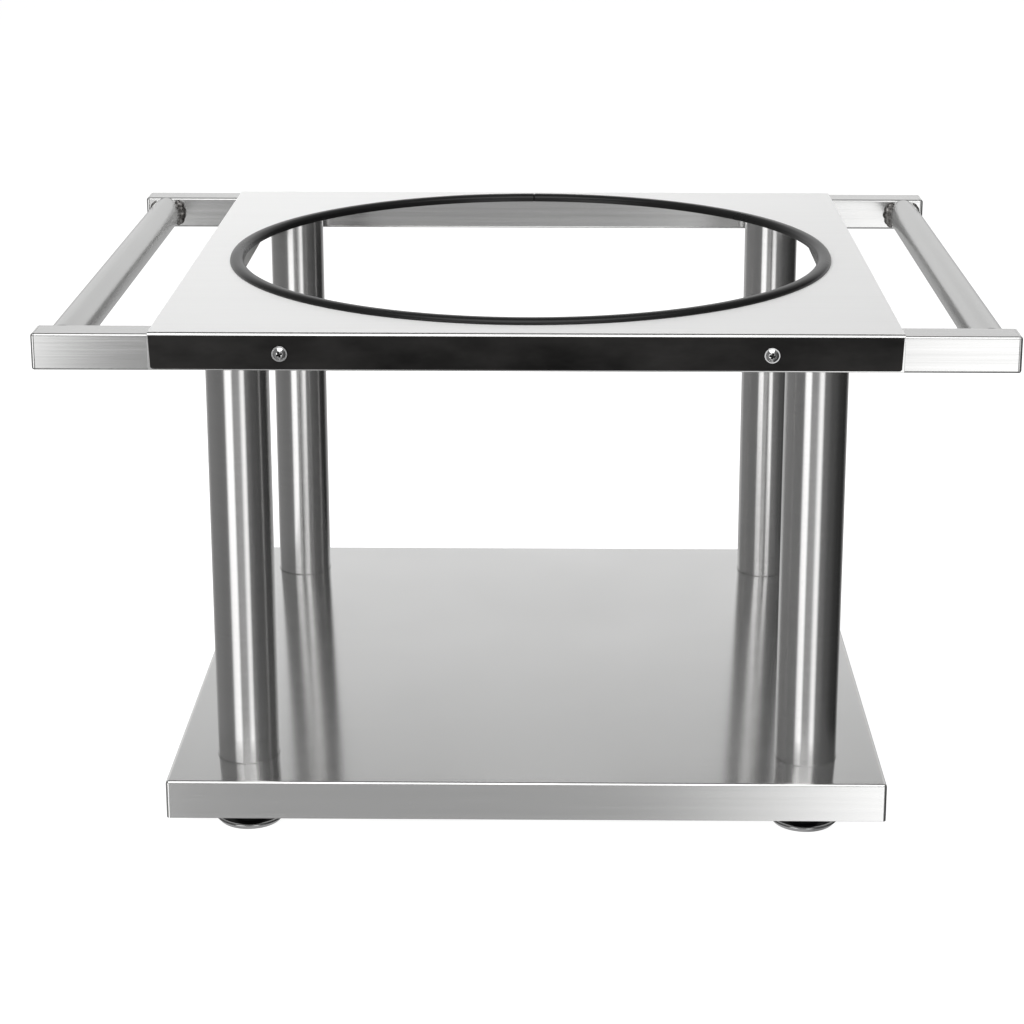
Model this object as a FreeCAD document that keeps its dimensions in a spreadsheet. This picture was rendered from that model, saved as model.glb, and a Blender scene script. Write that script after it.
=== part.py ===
import FreeCAD, Part
import os
import Sketcher

# Low stainless cart for a kamado grill: a square top sheet with a round hole on a tube frame with two
# side handles, four round legs on a folded shelf, and four screw-adjusted feet. Millimetres, +X to the
# right, +Y to the rear, +Z up, with the origin on the floor under the middle of the cart.

SIZES = {
    # Top sheet, folded down over the front and rear bars, and the rubber trim round its hole
    "hole_diameter": 522.0,
    "sheet_thickness": 1.5,
    "bend_inside": 0.5,
    "flange_short": 1.0,
    "trim_overlap": 9.7,
    "trim_bead": 2.7,
    "trim_rise": 6.0,
    "trim_round": 5.0,
    "trim_lip": 2.0,
    "trim_lip_thickness": 1.5,
    "frame_gap": 5.5,
    # Heights from the floor upwards
    "floor_gap": 27.0,
    "shelf_flange": 33.0,
    "deck_spacing": 384.5,
    # Frame of square tube, its end caps and the round handles welded between the bars
    "bar_size": 30.0,
    "bar_tail": 5.0,
    "tube_wall": 2.0,
    "tube_bore_corner": 1.0,
    "cap_thickness": 3.0,
    "cap_round": 2.5,
    "handle_gap": 58.0,
    "handle_diameter": 30.0,
    "handle_wall": 2.0,
    "weld_width": 7.0,
    # Fascia strip, its screws and the threaded inserts behind them
    "fascia_thickness": 1.5,
    "fascia_inset": 1.0,
    "fascia_taper": 1.2,
    "fascia_corner": 1.5,
    "screw_spacing": 390.0,
    "screw_diameter": 6.0,
    "screw_length": 14.0,
    "screw_head_overhang": 3.5,
    "screw_rim_height": 1.4,
    "screw_crown_height": 2.2,
    "screw_crown_slope": 2.6,
    "screw_head_round": 1.4,
    "recess_length": 6.4,
    "recess_width": 1.4,
    "recess_depth": 1.8,
    "insert_wall": 1.45,
    "insert_length": 11.0,
    # Legs, with a plug at each end, a washer underneath and a bolted corner plate on top
    "leg_diameter": 52.0,
    "leg_wall": 1.5,
    "leg_gap": 5.0,
    "top_plug_thickness": 12.0,
    "foot_plug_thickness": 20.0,
    "washer_lip": 0.6,
    "washer_thickness": 0.8,
    "plate_land": 2.0,
    "plate_margin": 7.0,
    "plate_chamfer": 24.0,
    "bolt_diameter": 10.0,
    "bolt_head_overhang": 4.0,
    "bolt_length": 22.0,
    "bolt_socket_width": 6.0,
    "bolt_socket_depth": 3.0,
    # Folded shelf, as wide as the sheet, and the channels that stiffen it from below
    "shelf_thickness": 1.5,
    "channel_width": 40.0,
    "channel_depth": 20.0,
    "channel_thickness": 1.5,
    "channel_spacing": 240.0,
    # Levelling feet: dished pads, threaded studs with a hexagon collar, and lock nuts
    "dish_width": 9.95,
    "pad_taper": 3.0,
    "pad_rim_height": 5.5,
    "pad_rim_width": 3.0,
    "pad_floor": 2.0,
    "boss_wall": 5.0,
    "socket_floor": 5.8,
    "socket_depth": 10.0,
    "stud_diameter": 12.0,
    "stud_chamfer": 1.0,
    "stud_reserve": 15.0,
    "collar_wall": 2.5,
    "collar_height": 8.0,
    "nut_wall": 3.45,
    "nut_height": 6.0,
    # Clearances: per side between turned fits, in drilled holes, and where a foot turns on its pad
    "thread_clearance": 0.05,
    "fit_clearance": 0.1,
    "hole_clearance": 0.25,
    "turning_gap": 0.2,
}

# Widths and levels that several pieces share, each worked out from the sizes above
HOLE_RADIUS = "(Sizes.hole_diameter / 2)"
TRIM_LIP_RADIUS = f"({HOLE_RADIUS} + Sizes.trim_lip)"
FRAME_INSIDE = f"({TRIM_LIP_RADIUS} + Sizes.frame_gap)"
FRAME_CENTRE = f"({FRAME_INSIDE} + Sizes.bar_size / 2)"
FRAME_OUTSIDE = f"({FRAME_INSIDE} + Sizes.bar_size)"
SHEET_HALF = f"({FRAME_OUTSIDE} + Sizes.sheet_thickness)"
SHEET_BEND = "(Sizes.bend_inside + Sizes.sheet_thickness)"
SHELF_BEND = "(Sizes.bend_inside + Sizes.shelf_thickness)"
SHELF_TOP = "(Sizes.floor_gap + Sizes.shelf_flange)"
SHELF_UNDERSIDE = f"({SHELF_TOP} - Sizes.shelf_thickness)"
SHEET_TOP = f"({SHELF_TOP} + Sizes.deck_spacing)"
SHEET_UNDERSIDE = f"({SHEET_TOP} - Sizes.sheet_thickness)"
FLANGE_DROP = "(Sizes.sheet_thickness + Sizes.bar_size - Sizes.flange_short)"
BAR_LEVEL = f"({SHEET_UNDERSIDE} - Sizes.bar_size / 2)"
TUBE_CORNER = "(Sizes.tube_bore_corner + Sizes.tube_wall)"
HANDLE_RADIUS = "(Sizes.handle_diameter / 2)"
HANDLE_OFFSET = f"({SHEET_HALF} + Sizes.handle_gap + {HANDLE_RADIUS})"
BAR_HALF = f"({HANDLE_OFFSET} + {HANDLE_RADIUS} + Sizes.bar_tail)"
SCREW_RADIUS = "(Sizes.screw_diameter / 2)"
SCREW_HOLE = f"({SCREW_RADIUS} + Sizes.hole_clearance)"
INSERT_BORE = f"({SCREW_RADIUS} + Sizes.thread_clearance)"
INSERT_RADIUS = f"({INSERT_BORE} + Sizes.insert_wall)"
BOLT_RADIUS = "(Sizes.bolt_diameter / 2)"
PLATE_THICKNESS = "(Sizes.bolt_head_overhang + Sizes.plate_land)"
LEG_RADIUS = "(Sizes.leg_diameter / 2)"
LEG_OFFSET = f"({FRAME_INSIDE} - Sizes.leg_gap - {LEG_RADIUS})"
LEG_BASE = f"({SHELF_TOP} + Sizes.washer_thickness)"
LEG_TOP = f"({SHEET_UNDERSIDE} - {PLATE_THICKNESS})"
PLUG_RADIUS = f"({LEG_RADIUS} - Sizes.leg_wall - Sizes.fit_clearance)"
STUD_RADIUS = "(Sizes.stud_diameter / 2)"
STUD_THREAD_BORE = f"({STUD_RADIUS} + Sizes.thread_clearance)"
STUD_HOLE = f"({STUD_RADIUS} + Sizes.hole_clearance)"
STUD_START = "(Sizes.socket_floor + Sizes.turning_gap)"
BOSS_HEIGHT = f"({STUD_START} + Sizes.socket_depth)"

# Each corner of the cart: its side in X and Y, and the turn from the rear right corner to it
CORNERS = {
    "front_left": (-1, -1, 180),
    "front_right": (1, -1, 270),
    "rear_left": (-1, 1, 90),
    "rear_right": (1, 1, 0),
}
SIDES = {"left": -1, "right": 1}
ENDS = {"front": -1, "rear": 1}
X_AXIS = FreeCAD.Vector(1, 0, 0)
Y_AXIS = FreeCAD.Vector(0, 1, 0)
Z_AXIS = FreeCAD.Vector(0, 0, 1)
QUARTER_TURN = 90
HEXAGON_HALF_ANGLE = "30 deg"
ROUNDING_SHARE = 0.9
LEVEL_TOLERANCE = 1e-3
TOLERANCE = 1e-6

doc = FreeCAD.newDocument("kamado_cart")
sheet = doc.addObject("Spreadsheet::Sheet", "Sizes")
for row, (alias, size) in enumerate(SIZES.items(), start=1):
    sheet.set(f"A{row}", alias)
    sheet.set(f"B{row}", str(size))
    sheet.setAlias(f"B{row}", alias)
doc.recompute()


def number(text):
    """The present value of a bound expression."""
    return float(sheet.evalExpression(text))


def limited(size, *walls):
    """A rounding that stays within a share of the walls beside it."""
    shares = "; ".join(f"{ROUNDING_SHARE} * {wall}" for wall in walls)
    return f"min({size}; {shares})"


def bind_place(piece, place, turn=(Z_AXIS, 0)):
    """Put a piece at bound coordinates, turned about one axis by an angle in degrees."""
    piece.Placement = FreeCAD.Placement(FreeCAD.Vector(), FreeCAD.Rotation(*turn))
    for name, text in zip("xyz", place):
        piece.setExpression(f"Placement.Base.{name}", text)


def new_body(label, place=("0", "0", "0"), turn=(Z_AXIS, 0)):
    """Start a piece of its own."""
    body = doc.addObject("PartDesign::Body", label)
    body.Label = label
    bind_place(body, place, turn)
    return body


def new_sketch(body, name, plane, level):
    """A sketch on one of the piece's own planes, raised by a bound distance."""
    sketch = body.newObject("Sketcher::SketchObject", name)
    support = next(item for item in body.Origin.OriginFeatures if item.Role == plane)
    sketch.AttachmentSupport = [(support, "")]
    sketch.MapMode = "FlatFace"
    sketch.setExpression("AttachmentOffset.Base.z", level)
    return sketch


def bind(sketch, text, *constraint):
    """Add a dimension whose value follows an expression."""
    index = sketch.addConstraint(Sketcher.Constraint(*constraint, number(text)))
    sketch.setExpression(f"Constraints[{index}]", text)


def outline(body, name, plane, points, level="0"):
    """A closed outline of straight lines whose corners are bound."""
    sketch = new_sketch(body, name, plane, level)
    corners = [FreeCAD.Vector(number(u), number(v), 0) for u, v in points]
    for start, end in zip(corners, corners[1:] + corners[:1]):
        sketch.addGeometry(Part.LineSegment(start, end))
    for index in range(len(points)):
        following = (index + 1) % len(points)
        sketch.addConstraint(Sketcher.Constraint("Coincident", index, 2, following, 1))
    for index, (u, v) in enumerate(points):
        bind(sketch, u, "DistanceX", -1, 1, index, 1)
        bind(sketch, v, "DistanceY", -1, 1, index, 1)
    return sketch


def circles(body, name, plane, rings, level="0"):
    """Circles with bound centres and radii, each given as u, v and radius."""
    sketch = new_sketch(body, name, plane, level)
    for index, (u, v, radius) in enumerate(rings):
        centre = FreeCAD.Vector(number(u), number(v), 0)
        sketch.addGeometry(Part.Circle(centre, Z_AXIS, number(radius)))
        bind(sketch, u, "DistanceX", -1, 1, index, 3)
        bind(sketch, v, "DistanceY", -1, 1, index, 3)
        bind(sketch, radius, "Radius", index)
    return sketch


def extrude(body, sketch, length, side="One side", reverse=False):
    """Give a section its bound length."""
    pad = body.newObject("PartDesign::Pad", f"{sketch.Name}_pad")
    pad.Profile = sketch
    pad.SideType = side
    pad.Reversed = reverse
    pad.setExpression("Length", length)
    doc.recompute()


def cut(body, sketch, depth=None, reverse=False):
    """Cut a section to a bound depth, or right through, and make sure that it took material away."""
    before = body.Shape.Volume
    pocket = body.newObject("PartDesign::Pocket", f"{sketch.Name}_cut")
    pocket.Profile = sketch
    if depth is None:
        pocket.Type = "ThroughAll"
        pocket.SideType = "Symmetric"
    else:
        pocket.Reversed = reverse
        pocket.setExpression("Length", depth)
    doc.recompute()
    if body.Shape.Volume > before - TOLERANCE:
        raise ValueError(f"{pocket.Name} cuts nothing")


def revolve(body, sketch):
    """Turn a section drawn in radius and height about the piece's own Z axis."""
    turned = body.newObject("PartDesign::Revolution", f"{sketch.Name}_turned")
    turned.Profile = sketch
    turned.ReferenceAxis = (sketch, ["V_Axis"])
    turned.Angle = 360
    doc.recompute()


def dress_edges(body, kind, name, size, chosen):
    """Round or chamfer the chosen edges of the piece's last feature."""
    base = body.Tip
    edges = [(index, edge) for index, edge in enumerate(base.Shape.Edges, start=1) if not edge.Degenerated]
    names = [f"Edge{index}" for index, edge in edges if chosen(edge)]
    dressing = body.newObject(f"PartDesign::{kind}", name)
    dressing.Base = (base, names)
    dressing.setExpression("Radius" if kind == "Fillet" else "Size", size)
    doc.recompute()


def runs_along(axis):
    """Whether an edge is straight and parallel to an axis."""
    return lambda edge: (
        isinstance(edge.Curve, Part.Line) and edge.Curve.Direction.cross(axis).Length < TOLERANCE
    )


def lies_at(height):
    """Whether an edge lies level at a height in its own piece."""
    lowest = number(height) - LEVEL_TOLERANCE
    highest = number(height) + LEVEL_TOLERANCE
    return lambda edge: edge.BoundBox.ZMin > lowest and edge.BoundBox.ZMax < highest


def lies_within(half, directions):
    """Whether an edge stays within a half width of its piece's centre in each named direction."""
    reach = number(half) + LEVEL_TOLERANCE
    limits = [f"{direction}{end}" for direction in directions for end in ("Min", "Max")]
    return lambda edge: all(abs(getattr(edge.BoundBox, limit)) < reach for limit in limits)


def square(half):
    """The corners of a centred square of the given half width."""
    return [(f"-{half}", f"-{half}"), (half, f"-{half}"), (half, half), (f"-{half}", half)]


def hexagon(width):
    """The corners of a centred hexagon of the given width across flats."""
    half = f"({width} / 2)"
    side = f"({half} * tan({HEXAGON_HALF_ANGLE}))"
    reach = f"({half} / cos({HEXAGON_HALF_ANGLE}))"
    return [
        (reach, "0"), (side, half), (f"-{side}", half),
        (f"-{reach}", "0"), (f"-{side}", f"-{half}"), (side, f"-{half}"),
    ]


def collar(label, place, outer, inner, height, turn=(Z_AXIS, 0)):
    """A plain round collar, plug, washer or length of tube standing on its place."""
    body = new_body(label, place, turn)
    section = circles(body, f"{label}_section", "XY_Plane", [("0", "0", outer), ("0", "0", inner)])
    extrude(body, section, height)
    return body


def group(label, members):
    """Identical small pieces kept together as separate solids under one name."""
    compound = doc.addObject("Part::Compound", label)
    compound.Label = label
    compound.Links = members
    return compound


def screw_places():
    """Centres of the two screws along the front or rear of the frame."""
    return [(f"{side} * Sizes.screw_spacing / 2", "0") for side in SIDES.values()]


def build_top_plate():
    """Square sheet folded down at the front and rear, with the round hole and the screw holes."""
    body = new_body("top_plate", ("0", "0", SHEET_TOP))
    blank = outline(body, "sheet_outline", "XY_Plane", square(SHEET_HALF))
    extrude(body, blank, FLANGE_DROP, reverse=True)
    folds = runs_along(X_AXIS)
    above = lies_at("0")
    dress_edges(body, "Fillet", "outer_bends", SHEET_BEND, lambda e: folds(e) and above(e))
    beyond = f"({SHEET_HALF} + Sizes.sheet_thickness)"
    corners = [
        (f"-{beyond}", f"-{FRAME_OUTSIDE}"), (beyond, f"-{FRAME_OUTSIDE}"),
        (beyond, FRAME_OUTSIDE), (f"-{beyond}", FRAME_OUTSIDE),
    ]
    hollow = outline(body, "sheet_hollow", "XY_Plane", corners, f"-{FLANGE_DROP}")
    cut(body, hollow, f"{FLANGE_DROP} - Sizes.sheet_thickness", reverse=True)
    under = lies_at("-Sizes.sheet_thickness")
    dress_edges(body, "Fillet", "inner_bends", "Sizes.bend_inside", lambda e: folds(e) and under(e))
    cut(body, circles(body, "grill_hole", "XY_Plane", [("0", "0", HOLE_RADIUS)]))
    level = "-(Sizes.sheet_thickness + Sizes.bar_size / 2)"
    holes = [(across, level, SCREW_HOLE) for across, _ in screw_places()]
    cut(body, circles(body, "screw_holes", "XZ_Plane", holes))
    return body


def build_hole_trim():
    """Rubber edging that grips the sheet round its hole and rises above it as a rounded bead."""
    body = new_body("hole_trim", ("0", "0", SHEET_TOP))
    inner = f"({HOLE_RADIUS} - Sizes.trim_bead)"
    slot = f"({HOLE_RADIUS} - Sizes.fit_clearance)"
    outer = f"({HOLE_RADIUS} + Sizes.trim_overlap)"
    lip_bottom = "(-Sizes.sheet_thickness - Sizes.trim_lip_thickness)"
    section = [
        (inner, lip_bottom), (TRIM_LIP_RADIUS, lip_bottom), (TRIM_LIP_RADIUS, "-Sizes.sheet_thickness"),
        (slot, "-Sizes.sheet_thickness"), (slot, "0"), (outer, "0"),
        (outer, "Sizes.trim_rise"), (inner, "Sizes.trim_rise"),
    ]
    revolve(body, outline(body, "trim_section", "XZ_Plane", section))
    rounding = limited("Sizes.trim_round", "Sizes.trim_rise")
    dress_edges(body, "Fillet", "trim_rounding", rounding, lies_at("Sizes.trim_rise"))
    return body


def square_tube(label, place, plane, axis, half):
    """A length of square tube, centred on its place, with rounded corners inside and out."""
    body = new_body(label, place)
    length = f"2 * {half}"
    along = runs_along(axis)
    section = outline(body, f"{label}_section", plane, square("(Sizes.bar_size / 2)"))
    extrude(body, section, length, "Symmetric")
    dress_edges(body, "Fillet", f"{label}_corners", TUBE_CORNER, along)
    bore = "(Sizes.bar_size / 2 - Sizes.tube_wall)"
    cut(body, outline(body, f"{label}_bore", plane, square(bore)))
    inner = lies_within(bore, plane.removesuffix("_Plane"))
    rounding = "Sizes.tube_bore_corner"
    dress_edges(body, "Fillet", f"{label}_bore_corners", rounding, lambda e: along(e) and inner(e))
    return body


def build_bars():
    """Front and rear bars with holes for the threaded inserts, and the caps on their ends."""
    pieces = []
    half = f"({BAR_HALF} - Sizes.cap_thickness)"
    insert_hole = f"({INSERT_RADIUS} + Sizes.fit_clearance)"
    for name, side in ENDS.items():
        place = ("0", f"{side} * {FRAME_CENTRE}", BAR_LEVEL)
        bar = square_tube(f"{name}_bar", place, "YZ_Plane", X_AXIS, half)
        holes = [(u, v, insert_hole) for u, v in screw_places()]
        sketch = circles(bar, f"{name}_insert_holes", "XZ_Plane", holes)
        cut(bar, sketch, "Sizes.bar_size", reverse=side < 0)
        pieces.append(bar)
    for corner, (x_side, y_side, _) in CORNERS.items():
        place = (f"{x_side} * {half}", f"{y_side} * {FRAME_CENTRE}", BAR_LEVEL)
        cap = new_body(f"{corner}_end_cap", place, (Z_AXIS, QUARTER_TURN * (1 - x_side)))
        face = outline(cap, f"{corner}_cap_face", "YZ_Plane", square("(Sizes.bar_size / 2)"))
        extrude(cap, face, "Sizes.cap_thickness")
        dress_edges(cap, "Fillet", f"{corner}_cap_corners", TUBE_CORNER, runs_along(X_AXIS))
        end = number("Sizes.cap_thickness") - TOLERANCE
        rounding = limited("Sizes.cap_round", "Sizes.cap_thickness", TUBE_CORNER)
        dress_edges(cap, "Fillet", f"{corner}_cap_edge", rounding, lambda e: e.BoundBox.XMin > end)
        pieces.append(cap)
    return pieces


def build_side_tubes():
    """The two tubes under the sheet that join the bars."""
    pieces = []
    for name, side in SIDES.items():
        place = (f"{side} * {FRAME_CENTRE}", "0", BAR_LEVEL)
        pieces.append(square_tube(f"{name}_side_tube", place, "XZ_Plane", Y_AXIS, FRAME_INSIDE))
    return pieces


def build_handles():
    """Round handle tubes between the bars, and the weld bead at each of their ends."""
    pieces = []
    welds = []
    bore = f"{HANDLE_RADIUS} - Sizes.handle_wall"
    for name, side in SIDES.items():
        across = f"{side} * {HANDLE_OFFSET}"
        start = (across, f"-{FRAME_INSIDE}", BAR_LEVEL)
        rearwards = (X_AXIS, -QUARTER_TURN)
        pieces.append(collar(f"{name}_handle", start, HANDLE_RADIUS, bore, f"2 * {FRAME_INSIDE}", rearwards))
        for end, y_side in ENDS.items():
            place = (across, f"{y_side} * {FRAME_INSIDE}", BAR_LEVEL)
            welds.append(weld_bead(f"{end}_{name}", place, (X_AXIS, QUARTER_TURN * y_side), side))
    pieces.append(group("handle_welds", welds))
    return pieces


def weld_bead(name, place, turn, side):
    """A tapering bead on the inner side of a handle's end, within the flat height of the bar that it is on."""
    cone = doc.addObject("Part::Cone", f"{name}_bead")
    tube = doc.addObject("Part::Cylinder", f"{name}_bead_bore")
    face = doc.addObject("Part::Box", f"{name}_bar_face")
    bore = f"({HANDLE_RADIUS} + Sizes.fit_clearance)"
    reach = f"({HANDLE_RADIUS} + Sizes.weld_width)"
    flat = f"(Sizes.bar_size / 2 - {TUBE_CORNER})"
    cone.setExpression("Radius1", reach)
    cone.setExpression("Radius2", f"{bore} + Sizes.fit_clearance")
    cone.setExpression("Height", "Sizes.weld_width")
    tube.setExpression("Radius", bore)
    tube.setExpression("Height", "Sizes.weld_width")
    face.setExpression("Length", reach)
    face.setExpression("Width", f"2 * {flat}")
    face.setExpression("Height", "Sizes.weld_width")
    bind_place(face, ("0" if side < 0 else f"-{reach}", f"-{flat}", "0"))
    ring = doc.addObject("Part::Cut", f"{name}_ring")
    ring.Base = cone
    ring.Tool = tube
    bead = doc.addObject("Part::Common", f"{name}_weld")
    bead.Base = ring
    bead.Tool = face
    bind_place(bead, place, turn)
    return bead


def build_fascia():
    """Dark strip over the front flange: its ends lean in a little and its lower corners are cut off."""
    body = new_body("front_fascia", ("0", f"-{SHEET_HALF}", BAR_LEVEL))
    top = f"(Sizes.bar_size / 2 + Sizes.sheet_thickness - {SHEET_BEND})"
    bottom = "(Sizes.flange_short - Sizes.bar_size / 2)"
    upper = f"({SHEET_HALF} - Sizes.fascia_inset)"
    lower = f"({upper} - Sizes.fascia_taper)"
    shoulder = f"({bottom} + Sizes.fascia_corner)"
    foot = f"({lower} - Sizes.fascia_corner)"
    strip = [
        (f"-{upper}", top), (f"-{lower}", shoulder), (f"-{foot}", bottom),
        (foot, bottom), (lower, shoulder), (upper, top),
    ]
    extrude(body, outline(body, "fascia_outline", "XZ_Plane", strip), "Sizes.fascia_thickness")
    holes = [(u, v, SCREW_HOLE) for u, v in screw_places()]
    cut(body, circles(body, "fascia_holes", "XZ_Plane", holes))
    return body


def pan_screw(label, place, turn):
    """A pan-head screw with a cross recess, its head on +Z and its shank below."""
    body = new_body(label, place, turn)
    rim = f"({SCREW_RADIUS} + Sizes.screw_head_overhang)"
    crown = f"({rim} - Sizes.screw_crown_slope)"
    top = "(Sizes.screw_rim_height + Sizes.screw_crown_height)"
    section = [
        ("0", "-Sizes.screw_length"), (SCREW_RADIUS, "-Sizes.screw_length"), (SCREW_RADIUS, "0"),
        (rim, "0"), (rim, "Sizes.screw_rim_height"), (crown, top), ("0", top),
    ]
    revolve(body, outline(body, f"{label}_section", "XZ_Plane", section))
    on_top = lies_at(top)
    on_rim = lies_at("Sizes.screw_rim_height")
    rounding = limited("Sizes.screw_head_round", "Sizes.screw_rim_height", "Sizes.screw_crown_height")
    dress_edges(body, "Fillet", f"{label}_rounding", rounding, lambda e: on_top(e) or on_rim(e))
    arm = "(Sizes.recess_length / 2)"
    half = "(Sizes.recess_width / 2)"
    cross = [
        (arm, f"-{half}"), (arm, half), (half, half), (half, arm), (f"-{half}", arm), (f"-{half}", half),
        (f"-{arm}", half), (f"-{arm}", f"-{half}"), (f"-{half}", f"-{half}"), (f"-{half}", f"-{arm}"),
        (half, f"-{arm}"), (half, f"-{half}"),
    ]
    cut(body, outline(body, f"{label}_recess", "XY_Plane", cross, top), "Sizes.recess_depth")
    return body


def build_screws():
    """Screws through the fascia, and through the rear flange, into threaded inserts in the bars."""
    seats = {"front": f"({SHEET_HALF} + Sizes.fascia_thickness)", "rear": SHEET_HALF}
    screws = {end: [] for end in ENDS}
    inserts = []
    for end, y_side in ENDS.items():
        outward = (X_AXIS, -QUARTER_TURN * y_side)
        inward = (X_AXIS, QUARTER_TURN * y_side)
        for name, (across, _) in zip(SIDES, screw_places()):
            seat = (across, f"{y_side} * {seats[end]}", BAR_LEVEL)
            mouth = (across, f"{y_side} * {FRAME_OUTSIDE}", BAR_LEVEL)
            label = f"{end}_{name}"
            screws[end].append(pan_screw(f"{label}_screw", seat, outward))
            inserts.append(
                collar(f"{label}_insert", mouth, INSERT_RADIUS, INSERT_BORE, "Sizes.insert_length", inward)
            )
    return [
        group("fascia_screws", screws["front"]),
        group("rear_screws", screws["rear"]),
        group("threaded_inserts", inserts),
    ]


def corner_plate(name, place, angle):
    """Plate welded into a corner of the frame, with a countersunk hole over the leg's axis."""
    body = new_body(f"{name}_corner_plate", place, (Z_AXIS, angle))
    outer = f"({LEG_RADIUS} + Sizes.leg_gap)"
    inner = f"({LEG_RADIUS} + Sizes.plate_margin)"
    cut_back = f"(Sizes.plate_chamfer - {inner})"
    corners = [
        (outer, outer), (f"-{inner}", outer), (f"-{inner}", cut_back),
        (cut_back, f"-{inner}"), (outer, f"-{inner}"),
    ]
    extrude(body, outline(body, f"{name}_plate_outline", "XY_Plane", corners), PLATE_THICKNESS)
    hole = f"{BOLT_RADIUS} + Sizes.hole_clearance"
    cut(body, circles(body, f"{name}_bolt_hole", "XY_Plane", [("0", "0", hole)]))
    on_top = lies_at(PLATE_THICKNESS)
    rim = lambda edge: isinstance(edge.Curve, Part.Circle) and on_top(edge)
    dress_edges(body, "Chamfer", f"{name}_countersink", "Sizes.bolt_head_overhang", rim)
    return body


def leg_bolt(name, place):
    """A countersunk socket bolt with its head level with the top of its corner plate."""
    body = new_body(f"{name}_leg_bolt", place)
    head = f"({BOLT_RADIUS} + Sizes.bolt_head_overhang)"
    section = [
        ("0", "-Sizes.bolt_length"), (BOLT_RADIUS, "-Sizes.bolt_length"),
        (BOLT_RADIUS, "-Sizes.bolt_head_overhang"), (head, "0"), ("0", "0"),
    ]
    revolve(body, outline(body, f"{name}_bolt_section", "XZ_Plane", section))
    socket = outline(body, f"{name}_bolt_socket", "XY_Plane", hexagon("Sizes.bolt_socket_width"))
    cut(body, socket, "Sizes.bolt_socket_depth")
    return body


def build_legs():
    """Legs between shelf and frame, each with its plugs, base washer, corner plate and bolt."""
    pieces = []
    bolts = []
    bore = f"{LEG_RADIUS} - Sizes.leg_wall"
    bolt_bore = f"{BOLT_RADIUS} + Sizes.thread_clearance"
    washer_radius = f"{LEG_RADIUS} + Sizes.washer_lip"
    top_plug = "Sizes.top_plug_thickness"
    foot_plug = "Sizes.foot_plug_thickness"
    for name, (x_side, y_side, angle) in CORNERS.items():
        axis = (f"{x_side} * {LEG_OFFSET}", f"{y_side} * {LEG_OFFSET}")
        under_top = (*axis, f"{LEG_TOP} - {top_plug}")
        at_base = (*axis, LEG_BASE)
        on_shelf = (*axis, SHELF_TOP)
        pieces += [
            collar(f"{name}_leg", at_base, LEG_RADIUS, bore, f"{LEG_TOP} - {LEG_BASE}"),
            collar(f"{name}_leg_top_plug", under_top, PLUG_RADIUS, bolt_bore, top_plug),
            collar(f"{name}_leg_foot_plug", at_base, PLUG_RADIUS, STUD_THREAD_BORE, foot_plug),
            collar(f"{name}_leg_washer", on_shelf, washer_radius, STUD_HOLE, "Sizes.washer_thickness"),
            corner_plate(name, (*axis, LEG_TOP), angle),
        ]
        bolts.append(leg_bolt(name, (*axis, SHEET_UNDERSIDE)))
    pieces.append(group("leg_bolts", bolts))
    return pieces


def build_shelf():
    """Folded pan with closed corners and a hole under each leg, and its two stiffening channels."""
    pan = new_body("shelf_pan", ("0", "0", SHELF_TOP))
    blank = outline(pan, "shelf_outline", "XY_Plane", square(SHEET_HALF))
    extrude(pan, blank, "Sizes.shelf_flange", reverse=True)
    upright = runs_along(Z_AXIS)
    above = lies_at("0")
    dress_edges(pan, "Fillet", "shelf_bends", SHELF_BEND, lambda e: upright(e) or above(e))
    inside = f"({SHEET_HALF} - Sizes.shelf_thickness)"
    hollow = outline(pan, "shelf_hollow", "XY_Plane", square(inside), "-Sizes.shelf_flange")
    cut(pan, hollow, "Sizes.shelf_flange - Sizes.shelf_thickness", reverse=True)
    under = lies_at("-Sizes.shelf_thickness")
    inner = lies_within(inside, "XY")
    folds = lambda edge: inner(edge) and (upright(edge) or under(edge))
    dress_edges(pan, "Fillet", "shelf_inner_bends", "Sizes.bend_inside", folds)
    holes = [(f"{x} * {LEG_OFFSET}", f"{y} * {LEG_OFFSET}", STUD_HOLE) for x, y, _ in CORNERS.values()]
    cut(pan, circles(pan, "stud_holes", "XY_Plane", holes))
    pieces = [pan]
    half = "(Sizes.channel_width / 2)"
    web = f"({half} - Sizes.channel_thickness)"
    section = [
        (f"-{half}", "0"), (f"-{half}", "-Sizes.channel_depth"), (f"-{web}", "-Sizes.channel_depth"),
        (f"-{web}", "-Sizes.channel_thickness"), (web, "-Sizes.channel_thickness"),
        (web, "-Sizes.channel_depth"), (half, "-Sizes.channel_depth"), (half, "0"),
    ]
    for name, side in SIDES.items():
        place = (f"{side} * Sizes.channel_spacing / 2", "0", SHELF_UNDERSIDE)
        channel = new_body(f"{name}_shelf_channel", place)
        sketch = outline(channel, f"{name}_channel_section", "XZ_Plane", section)
        extrude(channel, sketch, f"2 * ({inside} - Sizes.bend_inside)", "Symmetric")
        pieces.append(channel)
    return pieces


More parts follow.
